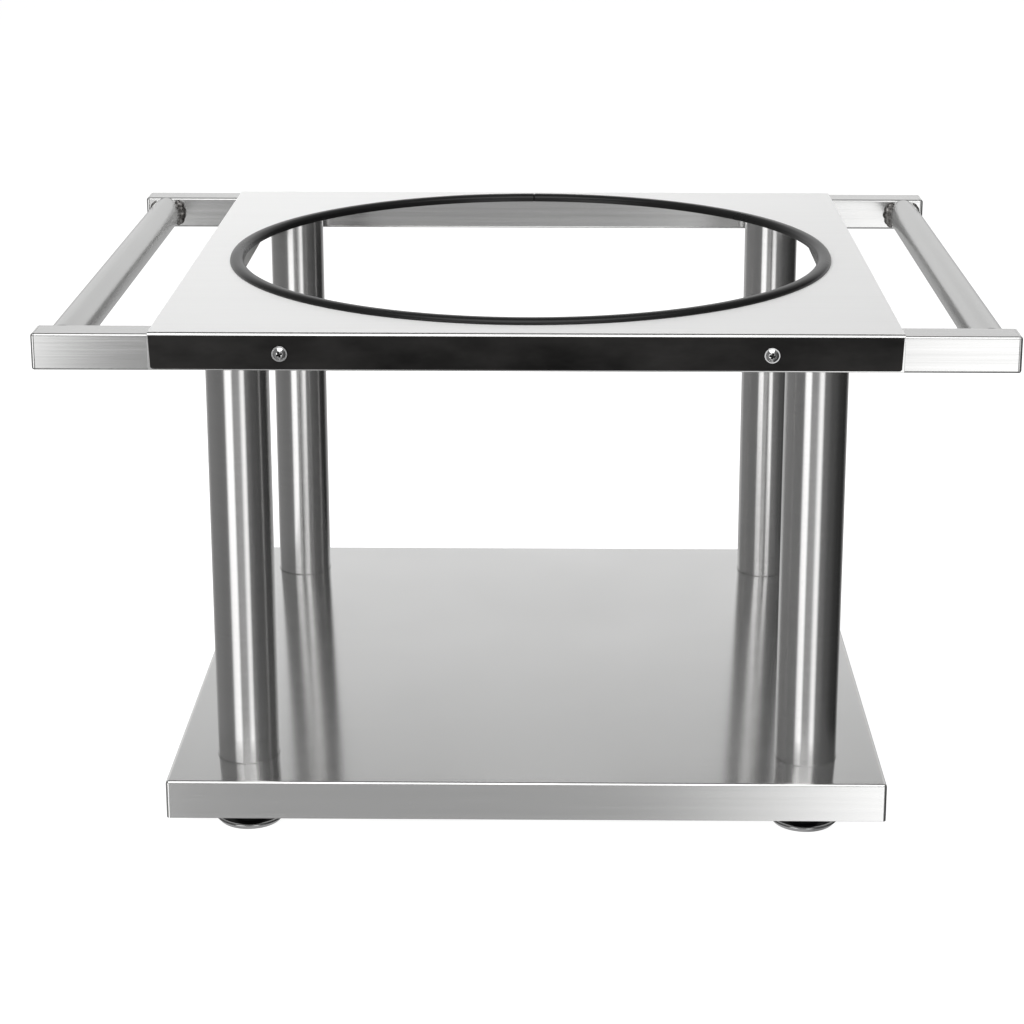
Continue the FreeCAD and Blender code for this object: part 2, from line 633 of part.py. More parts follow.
def foot_pad(name, place):
    """A dished pad that tapers to the floor, with a boss that holds the end of the stud."""
    body = new_body(f"{name}_foot_pad", place)
    boss = f"({STUD_THREAD_BORE} + Sizes.boss_wall)"
    dish_start = f"({boss} + Sizes.pad_taper)"
    dish_end = f"({dish_start} + Sizes.dish_width)"
    lip = f"({dish_end} + Sizes.pad_taper)"
    rim = f"({lip} + Sizes.pad_rim_width)"
    section = [
        ("0", "0"), (f"{rim} - Sizes.pad_taper", "0"), (rim, "Sizes.pad_rim_height"),
        (lip, "Sizes.pad_rim_height"), (dish_end, "Sizes.pad_floor"), (dish_start, "Sizes.pad_floor"),
        (boss, BOSS_HEIGHT), (STUD_THREAD_BORE, BOSS_HEIGHT),
        (STUD_THREAD_BORE, "Sizes.socket_floor"), ("0", "Sizes.socket_floor"),
    ]
    revolve(body, outline(body, f"{name}_pad_section", "XZ_Plane", section))
    return body


def foot_stud(name, place):
    """A threaded stud with a hexagon collar just above the pad's boss."""
    body = new_body(f"{name}_foot_stud", place)
    end = f"({LEG_BASE} + Sizes.foot_plug_thickness + Sizes.stud_reserve)"
    shank = circles(body, f"{name}_stud_section", "XY_Plane", [("0", "0", STUD_RADIUS)], STUD_START)
    extrude(body, shank, f"{end} - {STUD_START}")
    dress_edges(body, "Chamfer", f"{name}_stud_point", "Sizes.stud_chamfer", lies_at(end))
    seat = f"({BOSS_HEIGHT} + Sizes.turning_gap)"
    width = "(Sizes.stud_diameter + 2 * Sizes.collar_wall)"
    flats = outline(body, f"{name}_stud_collar", "XY_Plane", hexagon(width), seat)
    extrude(body, flats, "Sizes.collar_height")
    return body


def lock_nut(name, place):
    """A thin hexagon nut that clamps the shelf up against the leg."""
    body = new_body(f"{name}_lock_nut", place)
    width = f"(2 * ({STUD_THREAD_BORE} + Sizes.nut_wall))"
    extrude(body, outline(body, f"{name}_nut_outline", "XY_Plane", hexagon(width)), "Sizes.nut_height")
    cut(body, circles(body, f"{name}_nut_bore", "XY_Plane", [("0", "0", STUD_THREAD_BORE)]))
    return body


def build_feet():
    """Levelling feet on the legs' axes: pad, stud and lock nut."""
    pieces = []
    nuts = []
    for name, (x_side, y_side, _) in CORNERS.items():
        axis = (f"{x_side} * {LEG_OFFSET}", f"{y_side} * {LEG_OFFSET}")
        pieces += [foot_pad(name, (*axis, "0")), foot_stud(name, (*axis, "0"))]
        nuts.append(lock_nut(name, (*axis, f"{SHELF_UNDERSIDE} - Sizes.nut_height")))
    pieces.append(group("foot_lock_nuts", nuts))
    return pieces


def check(pieces):
    """Stop if any feature failed, or a piece is empty or not valid."""
    failed = [item.Name for item in doc.Objects if {"Invalid", "Error"} & set(item.State)]
    if failed:
        raise ValueError(f"failed features: {failed}")
    for piece in pieces:
        if piece.Shape.isNull() or not piece.Shape.isValid() or not piece.Shape.Solids:
            raise ValueError(f"{piece.Label} has no valid solid")


def export(pieces):
    """Write each piece to its own file, named for its node."""
    os.makedirs("parts", exist_ok=True)
    for piece in pieces:
        piece.Shape.exportStep(f"parts/{piece.Label}.step")
        print(f"{piece.Label}: {len(piece.Shape.Solids)} solids, {piece.Shape.Volume:.1f} mm3")


pieces = [
    build_top_plate(),
    build_hole_trim(),
    *build_bars(),
    *build_side_tubes(),
    *build_handles(),
    build_fascia(),
    *build_screws(),
    *build_legs(),
    *build_shelf(),
    *build_feet(),
]
doc.recompute()
check(pieces)
export(pieces)
print(f"{len(pieces)} pieces")
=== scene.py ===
"""Looks of a low stainless cart for a kamado grill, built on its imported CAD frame.

Lengths are metres in the cart's own frame: X to the right, Y to the rear, Z up from the floor. Every
visible shape is a surface worked out on a grid of two parameters, and takes its place from the CAD node
that it stands for.
"""

import logging
import math
from collections.abc import Iterable, Mapping, Sequence
from dataclasses import dataclass, field
from enum import Enum

import bmesh
import bpy
import numpy as np
from mathutils import Matrix, Vector


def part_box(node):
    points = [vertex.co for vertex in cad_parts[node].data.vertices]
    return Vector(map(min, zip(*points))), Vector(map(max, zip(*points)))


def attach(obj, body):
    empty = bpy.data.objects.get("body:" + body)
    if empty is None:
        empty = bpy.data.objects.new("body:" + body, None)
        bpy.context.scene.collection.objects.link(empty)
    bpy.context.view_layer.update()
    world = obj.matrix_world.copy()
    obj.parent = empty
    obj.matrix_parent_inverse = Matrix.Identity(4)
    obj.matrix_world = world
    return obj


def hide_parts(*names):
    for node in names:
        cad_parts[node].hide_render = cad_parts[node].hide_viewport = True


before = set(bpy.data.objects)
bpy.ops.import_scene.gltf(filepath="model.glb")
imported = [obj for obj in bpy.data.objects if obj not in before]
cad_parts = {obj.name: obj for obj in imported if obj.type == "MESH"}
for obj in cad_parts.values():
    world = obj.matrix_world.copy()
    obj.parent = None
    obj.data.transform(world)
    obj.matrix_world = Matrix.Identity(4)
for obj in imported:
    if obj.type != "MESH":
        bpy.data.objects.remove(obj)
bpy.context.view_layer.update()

Array = np.ndarray
Pair = tuple[float, float]
Triple = tuple[float, float, float]
Stops = tuple[Pair, ...]
LOG = logging.getLogger("cart")
MM = 0.001
MERGE_DISTANCE = 1e-7
CUT_EDGE_STEPS = 2
CUT_EDGE_ANGLE = math.radians(50)
CART = "cart"
CORNERS = {"front_left": (-1, -1), "front_right": (1, -1), "rear_left": (-1, 1), "rear_right": (1, 1)}
SIDES = {"left": -1, "right": 1}
ENDS = {"front": -1, "rear": 1}


class Axis(Enum):
    """The direction a piece runs in: where the two widths of its section and its length go in X, Y, Z."""

    X = (1, 2, 0)
    Y = (0, 2, 1)
    Z = (0, 1, 2)


class Brush(Enum):
    """The way a face was brushed: lines per metre in X, Y and Z, and the far point that the lines circle."""

    ALONG_X = ((5.0, 620.0, 620.0), (0.0, -60.0, 0.0))
    ALONG_Y = ((620.0, 5.0, 620.0), (-60.0, 0.0, 0.0))
    ROUND_OWN_AXIS = ((30.0, 30.0, 900.0), None)

    @property
    def lines(self) -> Array:
        """Lines per metre in X, Y and Z."""
        return np.array(self.value[0])

    @property
    def far_point(self) -> Triple | None:
        """The point that the lines circle, or none for the middle of the piece."""
        return self.value[1]


class Value:
    """A number that a shader works out. Arithmetic on it adds Math nodes."""

    def __init__(self, shader: "Shader", socket: bpy.types.NodeSocket) -> None:
        """Hold a socket and the shader that it belongs to."""
        self.shader = shader
        self.socket = socket

    def math(self, operation: str, left: "Value | float", right: "Value | float" = 0.0) -> "Value":
        """Add one Math node.

        Args:
            operation: Blender's name of the operation.
            left: first operand.
            right: second operand.

        Returns:
            The node's result.
        """
        node = self.shader.node("ShaderNodeMath", {"operation": operation}, {0: left, 1: right})
        return Value(self.shader, node.outputs[0])

    def __add__(self, other: "Value | float") -> "Value":
        """Sum of this and another number."""
        return self.math("ADD", self, other)

    def __radd__(self, other: float) -> "Value":
        """Sum of a plain number and this."""
        return self.math("ADD", other, self)

    def __sub__(self, other: "Value | float") -> "Value":
        """This less another number."""
        return self.math("SUBTRACT", self, other)

    def __rsub__(self, other: float) -> "Value":
        """A plain number less this."""
        return self.math("SUBTRACT", other, self)

    def __mul__(self, other: "Value | float") -> "Value":
        """Product of this and another number."""
        return self.math("MULTIPLY", self, other)

    def __rmul__(self, other: float) -> "Value":
        """Product of a plain number and this."""
        return self.math("MULTIPLY", other, self)

    def most(self, other: "Value | float") -> "Value":
        """The larger of this and another number."""
        return self.math("MAXIMUM", self, other)

    def swing(self, amount: float, middle: float = 0.5) -> "Value":
        """A middle plus an amount of this number's distance from a half."""
        return (self - 0.5) * amount + middle

    def step(self, low: float, high: float) -> "Value":
        """Rise smoothly from 0 at low to 1 at high.

        Args:
            low: where the rise starts.
            high: where it ends.

        Returns:
            A number from 0 to 1.
        """
        sockets = {"Value": self, "From Min": low, "From Max": high}
        node = self.shader.node("ShaderNodeMapRange", {"interpolation_type": "SMOOTHSTEP"}, sockets)
        return Value(self.shader, node.outputs["Result"])


class Shader:
    """A node tree that is emptied and then built up node by node."""

    def __init__(self, tree: bpy.types.NodeTree) -> None:
        """Take over a node tree and clear it."""
        self.tree = tree
        tree.nodes.clear()

    def node(
        self, kind: str, settings: Mapping[str, object] | None = None, sockets: Mapping | None = None
    ) -> bpy.types.Node:
        """Add a node.

        Args:
            kind: Blender's name of the node type.
            settings: the node's properties, set first; stops fills a colour ramp.
            sockets: values or links of its inputs, by name or number; a node stands for its first output.

        Returns:
            The new node.
        """
        made = self.tree.nodes.new(kind)
        for name, value in (settings or {}).items():
            if name == "stops":
                self.fill_ramp(made.color_ramp, value)
            else:
                setattr(made, name, value)
        for name, value in (sockets or {}).items():
            source = value.socket if isinstance(value, Value) else value
            if isinstance(source, bpy.types.Node):
                source = source.outputs[0]
            if isinstance(source, bpy.types.NodeSocket):
                self.tree.links.new(source, made.inputs[name])
            else:
                made.inputs[name].default_value = source
        return made

    def fill_ramp(self, ramp: bpy.types.ColorRamp, stops: Sequence[Pair]) -> None:
        """Give a ramp grey stops.

        Args:
            ramp: the ramp to fill, which has two stops already.
            stops: place and grey level of each stop, in order.
        """
        ramp.interpolation = "EASE"
        for place, _ in stops[2:]:
            ramp.elements.new(place)
        for element, (place, level) in zip(ramp.elements, stops):
            element.position = place
            element.color = (level, level, level, 1.0)

    def value(self, node: bpy.types.Node, output: str | int = 0) -> Value:
        """Wrap a node's output as a number."""
        return Value(self, node.outputs[output])

    def place(self) -> bpy.types.NodeSocket:
        """The point on the piece, in the cart's frame."""
        return self.node("ShaderNodeTexCoord").outputs["Object"]

    def split(self, vector: bpy.types.NodeSocket) -> tuple[Value, Value, Value]:
        """The three parts of a vector as numbers."""
        parts = self.node("ShaderNodeSeparateXYZ", {}, {0: vector})
        return self.value(parts, 0), self.value(parts, 1), self.value(parts, 2)

    def seen(self) -> Value:
        """One for what the camera sees, straight or through glass, and zero for other rays."""
        rays = self.node("ShaderNodeLightPath")
        return self.value(rays, "Is Camera Ray").most(self.value(rays, "Is Transmission Ray"))

    def noise(self, scale: Sequence[float], detail: float = 2.0, sharpness: float = 0.5) -> Value:
        """Random soft pattern on the piece.

        Args:
            scale: waves per metre in X, Y and Z.
            detail: how many finer layers it has.
            sharpness: how strong the finer layers are.

        Returns:
            A number about 0.5.
        """
        mapping = self.node("ShaderNodeMapping", {}, {"Vector": self.place(), "Scale": tuple(scale)})
        sockets = {"Vector": mapping, "Scale": 1.0, "Detail": detail, "Roughness": sharpness}
        return self.value(self.node("ShaderNodeTexNoise", {}, sockets))

    def blend(self, factor: Value, first: Triple, second: Triple) -> bpy.types.NodeSocket:
        """Mix two colours.

        Args:
            factor: 0 for the first colour, 1 for the second.
            first: linear red, green and blue.
            second: the same.

        Returns:
            The mixed colour.
        """
        settings = {"data_type": "RGBA", "clamp_factor": True}
        made = self.node("ShaderNodeMix", settings, {0: factor, 6: (*first, 1.0), 7: (*second, 1.0)})
        return made.outputs[2]

    def shades(self, factor: Value, tint: Triple, dark: float, light: float) -> bpy.types.NodeSocket:
        """Mix a tint's darker and lighter shades, each given as a share of the tint."""
        return self.blend(factor, scaled(tint, dark), scaled(tint, light))

    def bump(
        self, height: Value, strength: float, depth: float, base: bpy.types.NodeSocket | None = None
    ) -> bpy.types.NodeSocket:
        """Normal of a surface with fine relief.

        Args:
            height: relief, from 0 to 1.
            strength: share of the relief that is used.
            depth: metres from the lowest to the highest point.
            base: normal of a coarser relief under this one.

        Returns:
            The changed normal.
        """
        sockets = {"Height": height, "Strength": strength, "Distance": depth}
        if base is not None:
            sockets["Normal"] = base
        return self.node("ShaderNodeBump", {}, sockets).outputs["Normal"]

    def close(self, surface: bpy.types.Node, output: str = "ShaderNodeOutputMaterial") -> None:
        """Lead a surface into the tree's output."""
        self.node(output, {}, {"Surface": surface})

    def surface(self, sockets: Mapping[str, object]) -> None:
        """Finish a material with a Principled surface, from the values or links of its inputs."""
        self.close(self.node("ShaderNodeBsdfPrincipled", {}, sockets))


def scaled(colour: Triple, share: float) -> Triple:
    """A colour made darker or lighter by one factor."""
    return tuple(min(1.0, part * share) for part in colour)


def new_material(name: str) -> tuple[bpy.types.Material, Shader]:
    """Start a material.

    Args:
        name: the material's name.

    Returns:
        The material and its empty node tree.
    """
    made = bpy.data.materials.new(name)
    made.use_nodes = True
    return made, Shader(made.node_tree)


def linked(name: str, data: bpy.types.ID) -> bpy.types.Object:
    """Put an object into the scene.

    Args:
        name: the object's name.
        data: its mesh, lamp or camera.

    Returns:
        The new object, at the origin.
    """
    made = bpy.data.objects.new(name, data)
    bpy.context.scene.collection.objects.link(made)
    return made


@dataclass(frozen=True)
class Finish:
    """A finish that makes its material once and then hands out the same one."""

    name: str

    def material(self) -> bpy.types.Material:
        """Look the finish's material up, and make it at its first use.

        Returns:
            The material.
        """
        known = bpy.data.materials.get(self.name)
        if known is None:
            known, shader = new_material(self.name)
            self.fill(shader)
        return known

    def fill(self, shader: Shader) -> None:
        """Build the finish's nodes."""
        raise NotImplementedError


@dataclass(frozen=True)
class BrushedSteel(Finish):
    """Stainless steel with fine parallel lines, which blur what it mirrors across the lines.

    A metal share under 1 gives a blasted, nearly matt skin. The crown is how far thin sheet seems to bulge
    over its reach from the middle, in millimetres; slow dents lie over it.
    """

    tint: Triple
    roughness: float
    brush: Brush
    stretch: float = 0.7
    turn: float = 0.25
    streaks: float = 0.06
    clouds: float = 0.05
    cloud_scale: float = 7.0
    relief: float = 0.002
    metal: float = 1.0
    crown: float = 0.0
    crown_reach: float = 0.28
    crown_fall: float = 0.6
    dents: float = 0.2
    dent_scale: Triple = (4.0, 2.6, 4.0)
    broad_scale: float = 0.35
    broad_share: float = 0.6
    fine_scale: float = 2.3
    contrast: float = 2.6
    rough_share: float = 1.5

    def bulge(self, shader: Shader) -> Value:
        """Height of bulged sheet: slow noise less the squared distance from the middle.

        Args:
            shader: the finish's node tree.

        Returns:
            A number that falls by one over the reach to the left or right, and by less to the front or rear.
        """
        x, y, _ = shader.split(shader.place())
        fall = (x * x + y * y * self.crown_fall) * self.crown_reach**-2
        return shader.noise(self.dent_scale, detail=0.0) * self.dents - fall

    def fill(self, shader: Shader) -> None:
        """Lines set brightness, roughness and relief; broad clouds change the roughness a little.

        Args:
            shader: the finish's node tree.
        """
        broad = shader.noise(self.brush.lines * self.broad_scale, detail=3.0, sharpness=0.55)
        fine = shader.noise(self.brush.lines * self.fine_scale, detail=2.0, sharpness=0.6)
        lines = self.broad_share * broad + (1 - self.broad_share) * fine
        cloud = shader.noise((self.cloud_scale,) * 3)
        rough = lines.swing(self.streaks * self.rough_share, self.roughness) + cloud.swing(self.clouds, 0.0)
        bulged = shader.bump(self.bulge(shader), strength=1.0, depth=self.crown * MM) if self.crown else None
        shader.surface({
            "Base Color": shader.shades(
                lines.swing(self.contrast), self.tint, 1 - self.streaks, 1 + self.streaks
            ),
            "Metallic": self.metal, "Roughness": rough, "Anisotropic": self.stretch,
            "Anisotropic Rotation": self.turn,
            "Normal": shader.bump(fine, strength=0.4, depth=self.relief * MM, base=bulged),
        })


@dataclass(frozen=True)
class TurnedSteel(Finish):
    """Plain or plated steel with faint mottling, for fasteners, plugs and plates, and a near-black copy that
    is painted shade in the screws' recesses.
    """

    tint: Triple
    roughness: float
    grain: float = 260.0
    dark: float = 0.9
    light: float = 1.08
    rough_swing: float = 0.08
    relief: float = 0.01

    def fill(self, shader: Shader) -> None:
        """Fine mottling changes brightness and roughness.

        Args:
            shader: the finish's node tree.
        """
        grain = shader.noise((self.grain,) * 3, detail=3.0, sharpness=0.6)
        shader.surface({
            "Base Color": shader.shades(grain, self.tint, self.dark, self.light), "Metallic": 1.0,
            "Roughness": grain.swing(self.rough_swing, self.roughness),
            "Normal": shader.bump(grain, strength=0.3, depth=self.relief * MM),
        })


@dataclass(frozen=True)
class WeldSteel(Finish):
    """Weld metal, darkened by heat in patches."""

    bright: Triple
    burnt: Triple
    scale: float = 150.0
    contrast: float = 3.0
    roughness: float = 0.4
    rough_swing: float = 0.3
    relief: float = 0.05

    def fill(self, shader: Shader) -> None:
        """Coarse patches of heat colour over a rough skin.

        Args:
            shader: the finish's node tree.
        """
        patches = shader.noise((self.scale,) * 3)
        shader.surface({
            "Base Color": shader.blend(patches.swing(self.contrast), self.burnt, self.bright),
            "Metallic": 1.0, "Roughness": patches.swing(self.rough_swing, self.roughness),
            "Normal": shader.bump(patches, strength=0.3, depth=self.relief * MM),
        })


@dataclass(frozen=True)
class BlackCoat(Finish):
    """Black rubber, plastic or satin coating, also used as painted shade inside the steel foot dishes: dark,
    with a fine skin and faint smudges.
    """

    tint: Triple
    roughness: float
    smudge: float
    gloss: float = 0.5
    grain: float = 1500.0
    relief: float = 0.02
    smudge_scale: Triple = (11.0, 11.0, 26.0)
    contrast: float = 2.4
    rough_swing: float = 0.16

    def fill(self, shader: Shader) -> None:
        """Smudges lighten the colour and change the gloss; a fine grain roughens the skin.

        Args:
            shader: the finish's node tree.
        """
        smudges = shader.noise(self.smudge_scale, detail=4.0, sharpness=0.6)
        grain = shader.noise((self.grain,) * 3)
        mask = smudges.swing(self.contrast)
        shader.surface({
            "Base Color": shader.shades(mask, self.tint, 1 - self.smudge, 1 + self.smudge),
            "Roughness": smudges.swing(self.rough_swing, self.roughness), "Specular IOR Level": self.gloss,
            "Normal": shader.bump(grain, strength=0.25, depth=self.relief * MM),
        })


SHEET_STEEL = BrushedSteel(
    "satin_sheet", (0.95, 0.95, 0.945), 0.42, Brush.ALONG_X, 0.5, streaks=0.02, metal=0.15
)
FOLD_STEEL = BrushedSteel("polished_fold", (0.80, 0.80, 0.795), 0.16, Brush.ALONG_X, 0.3, streaks=0.02)
SHELF_STEEL = BrushedSteel(
    "satin_shelf", (0.86, 0.86, 0.855), 0.165, Brush.ALONG_X, 0.88, streaks=0.025, crown=4.0
)
SHELF_EDGE = BrushedSteel("satin_shelf_edge", (0.83, 0.83, 0.825), 0.18, Brush.ALONG_X, 0.6, streaks=0.03)
BAR_STEEL = BrushedSteel("brushed_bar", (0.72, 0.72, 0.715), 0.176, Brush.ALONG_X, 0.68, streaks=0.10)
# The bars' brushed tube steel with a darker tint, for the side tubes under the sheet and the channels under
# the shelf: the extra darkness is painted shade.
SHADED_SIDE_STEEL = BrushedSteel("brushed_side_tube_painted_shade", (0.46, 0.46, 0.455), 0.3, Brush.ALONG_Y, streaks=0.08)
HANDLE_STEEL = BrushedSteel("satin_handle", (0.60, 0.60, 0.595), 0.24, Brush.ALONG_Y, 0.3, streaks=0.03)
LEG_STEEL = BrushedSteel("satin_leg", (0.72, 0.715, 0.71), 0.24, Brush.ROUND_OWN_AXIS, 0.95, streaks=0.03)
PLATE_STEEL = TurnedSteel("mill_plate", (0.45, 0.45, 0.445), 0.42)
PLUG_STEEL = TurnedSteel("turned_plug", (0.55, 0.55, 0.54), 0.35)
THREAD_STEEL = TurnedSteel("plated_thread", (0.62, 0.62, 0.60), 0.26)
CHROME = TurnedSteel("bright_chrome", (0.78, 0.78, 0.78), 0.10)
FOOT_STEEL = TurnedSteel("dull_foot_rim", (0.56, 0.56, 0.56), 0.18)
# Near-black steel for the deep part of the screws' cross recess: painted shade standing in for the shadow
# inside the recess.
RECESS_PAINTED_SHADE = TurnedSteel("recess_painted_shade", (0.05, 0.05, 0.05), 0.45)
WASHER_STEEL = TurnedSteel("washer_ring", (0.60, 0.60, 0.59), 0.24)
WELD_STEEL = WeldSteel("heated_weld", (0.36, 0.35, 0.34), (0.10, 0.095, 0.09))
TRIM_RUBBER = BlackCoat("edging_rubber", (0.009, 0.009, 0.009), 0.3, 0.2, 0.4)
FASCIA_COAT = BlackCoat("fascia_coat", (0.0155, 0.0149, 0.0145), 0.42, 0.75, 0.11)
# Near-black finish for the inside of the steel foot dishes: painted shade for the shadow that the shelf casts
# into them.
DISH_PAINTED_SHADE = BlackCoat("foot_dish_painted_shade", (0.006, 0.006, 0.006), 0.5, 0.2, 0.2)


@dataclass(frozen=True)
class Box:
    """The lowest and highest corner of a CAD node at rest."""

    low: Array
    high: Array

    @classmethod
    def of(cls, node: str) -> "Box":
        """The box of a named node."""
        low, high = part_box(node)
        return cls(np.array(low), np.array(high))

    @property
    def centre(self) -> Array:
        """Middle of the box."""
        return (self.low + self.high) / 2

    @property
    def half(self) -> Array:
        """Half the box's size along each axis."""
        return (self.high - self.low) / 2


def full_turn(steps: int) -> Array:
    """Angles of a closed circle, without its last point."""
    return np.linspace(0, math.tau, steps, endpoint=False)


def arc(centre: Sequence[float], radius: float, start: float, end: float, steps: int = 6) -> Array:
    """Points of a circular arc: the centre plus the radius along each angle.

    Args:
        centre: the arc's middle in its own plane.
        radius: its radius.
        start: first angle in degrees.
        end: last angle in degrees.
        steps: how many pieces it has.

    Returns:
        An array of steps + 1 points.
    """
    angle = np.radians(np.linspace(start, end, steps + 1))
    return np.array(centre) + radius * np.stack([np.cos(angle), np.sin(angle)], axis=-1)


def polar(radius: Array, angle: Array, height: Array) -> Array:
    """Points about an upright axis: x and y are the radius along the angle, z is the height."""
    return np.stack(np.broadcast_arrays(radius * np.cos(angle), radius * np.sin(angle), height), axis=-1)


def revolved(profile: Array, angles: Array, centre: Sequence[float] = (0, 0)) -> Array:
    """A profile turned about an upright axis.

    Args:
        profile: radius and height of each point.
        angles: angle of each copy.
        centre: the axis's place in X and Y.

    Returns:
        A grid with one row per angle.
    """
    return polar(profile[None, :, 0], angles[:, None], profile[None, :, 1]) + (*centre, 0)


def flat_net(low: Sequence[float], high: Sequence[float], steps: int = 2) -> Array:
    """A flat net between two corners: the low corner plus even shares of its two widths.

    Args:
        low: the lowest corner.
        high: the highest corner, which differs from it along two axes.
        steps: pieces along each side.

    Returns:
        A grid with one row per share of the first width.
    """
    low, width = np.array(low, float), np.subtract(high, low)
    first, second = np.flatnonzero(width)
    share = np.linspace(0, 1, steps + 1)
    grid = np.tile(low, (steps + 1, steps + 1, 1))
    grid[..., first] += width[first] * share[:, None]
    grid[..., second] += width[second] * share[None, :]
    return grid


def holed_net(radius: float, reach: Pair, centre: Sequence[float], steps: int, rows: int) -> Array:
    """A flat rectangle with a round hole: straight lines from the hole's circle to the rectangle's sides.

    The lines leave the circle at the angles of points spread evenly along the sides of a square.

    Args:
        radius: of the hole.
        reach: half the rectangle's size in X and Y.
        centre: the hole's place and height.
        steps: lines per side.
        rows: pieces of each line.

    Returns:
        A grid whose columns close on themselves.
    """
    step = np.linspace(-1, 1, steps + 1)[:-1]
    one = np.ones_like(step)
    sides = ((one, step), (-step, one), (-one, -step), (step, -one))
    square = np.concatenate([np.stack(side, -1) for side in sides])
    angle = np.arctan2(square[:, 1], square[:, 0])
    circle = radius * np.stack([np.cos(angle), np.sin(angle)], -1)
    share = np.linspace(0, 1, rows + 1)[:, None, None]
    flat = circle * (1 - share) + square * reach * share
    return np.dstack([flat, np.zeros(flat.shape[:2])]) + np.array(centre)


@dataclass(frozen=True)
class Outline:
    """A square with round corners, run through once.

    A point is its place on the inner square, which is half - corner from the middle, plus the corner's
    radius along its direction. With corner equal to half the outline is a circle.
    """

    places: Array
    directions: Array

    @classmethod
    def make(cls, arc_steps: int, side_places: Iterable[float] = ()) -> "Outline":
        """Work out the outline's points: one corner and side, turned by quarters.

        Args:
            arc_steps: pieces of each round corner.
            side_places: extra points on each side, from -1 to 1 of its flat length.

        Returns:
            The outline.
        """
        turn = np.linspace(0, math.pi / 2, arc_steps + 1)
        along = -np.sort(-np.array(list(side_places), float))
        places = np.concatenate([np.ones((arc_steps + 1, 2)), np.stack([along, np.ones_like(along)], -1)])
        angles = np.concatenate([turn, np.full(len(along), math.pi / 2)])
        directions = np.stack([np.cos(angles), np.sin(angles)], -1)
        quarters = [np.linalg.matrix_power(np.array([[0, 1], [-1, 0]]), count) for count in range(4)]
        return cls(*(np.concatenate([part @ q for q in quarters]) for part in (places, directions)))

    def carried(self, rows: Array, axis: Axis, centre: Sequence[float]) -> Array:
        """The outline carried along a straight line while its size changes.

        Args:
            rows: half width, corner radius and place along the line, per row.
            axis: direction of the line.
            centre: the line's starting point.

        Returns:
            A grid with one row per place on the line.
        """
        half, corner, along = rows[:, 0, None, None], rows[:, 1, None, None], rows[:, 2, None]
        section = self.places * (half - corner) + self.directions * corner
        first, second, third = axis.value
        grid = np.empty((*section.shape[:2], 3))
        grid[..., first], grid[..., second], grid[..., third] = section[..., 0], section[..., 1], along
        return grid + np.array(centre)


@dataclass
class Shape:
    """Grids of points that together become one mesh."""

    points: list[Array] = field(default_factory=list)
    faces: list[Array] = field(default_factory=list)
    slots: list[Array] = field(default_factory=list)

    def add(
        self, grid: Array, wrap_rows: bool = False, wrap_columns: bool = False, slot: Array | int = 0,
        keep: Array | None = None,
    ) -> "Shape":
        """Add a grid of quads.

        Args:
            grid: points in rows and columns.
            wrap_rows: join the last row to the first.
            wrap_columns: join the last column to the first.
            slot: material slot, one for all, one per row of quads or one per quad.
            keep: mask of the quads that are kept.

        Returns:
            The shape itself.
        """
        rows, columns = grid.shape[:2]
        row = np.arange(rows if wrap_rows else rows - 1)[:, None]
        column = np.arange(columns if wrap_columns else columns - 1)[None, :]
        this_row, next_row = row * columns, (row + 1) % rows * columns
        next_column = (column + 1) % columns
        corners = [this_row + column, this_row + next_column, next_row + next_column, next_row + column]
        quads = np.stack(np.broadcast_arrays(*corners), axis=-1)
        by_row = slot if np.ndim(slot) == 2 else np.reshape(slot, (-1, 1))
        slots = np.broadcast_to(by_row, quads.shape[:2])
        kept = np.ones(quads.shape[:2], bool) if keep is None else keep
        self.faces.append(quads[kept] + sum(len(p) for p in self.points))
        self.slots.append(slots[kept])
        self.points.append(grid.reshape(-1, 3))
        return self

    def mesh(self, name: str) -> bpy.types.Mesh:
        """Join the grids where they meet and turn the faces outwards.

        Args:
            name: the mesh's name.

        Returns:
            The mesh, with poles and seams closed.
        """
        mesh = bpy.data.meshes.new(name)
        mesh.from_pydata(np.concatenate(self.points), [], np.concatenate(self.faces).tolist())
        mesh.polygons.foreach_set("material_index", np.concatenate(self.slots).astype(np.int32))
        body = bmesh.new()
        body.from_mesh(mesh)
        bmesh.ops.remove_doubles(body, verts=body.verts, dist=MERGE_DISTANCE)
        bmesh.ops.recalc_face_normals(body, faces=body.faces)
        body.to_mesh(mesh)
        body.free()
        return mesh


def tube_mesh(name: str, arc_steps: int, outer: Pair, inner: Pair, box: Box, axis: Axis) -> bpy.types.Mesh:
    """A tube as one closed sheet: its outside from end to end, then its bore back again.

    Args:
        name: the mesh's name.
        arc_steps: pieces of each corner of its section.
        outer: half width and corner radius outside.
        inner: half width and corner radius of the bore.
        box: the node that it stands for.
        axis: direction of its length.

    Returns:
        The closed mesh.
    """
    reach = box.half[axis.value[2]]
    rows = np.array([(*outer, -reach), (*outer, reach), (*inner, reach), (*inner, -reach)])
    grid = Outline.make(arc_steps).carried(rows, axis, box.centre)
    return Shape().add(grid, wrap_rows=True, wrap_columns=True).mesh(name)


def face_data(mesh: bpy.types.Mesh) -> tuple[Array, Array]:
    """Read a mesh's faces.

    Args:
        mesh: the mesh.

    Returns:
        The normal and the area of each face.
    """
    count = len(mesh.polygons)
    normals, areas = np.empty(3 * count), np.empty(count)
    mesh.polygons.foreach_get("normal", normals)
    mesh.polygons.foreach_get("area", areas)
    return normals.reshape(-1, 3), areas


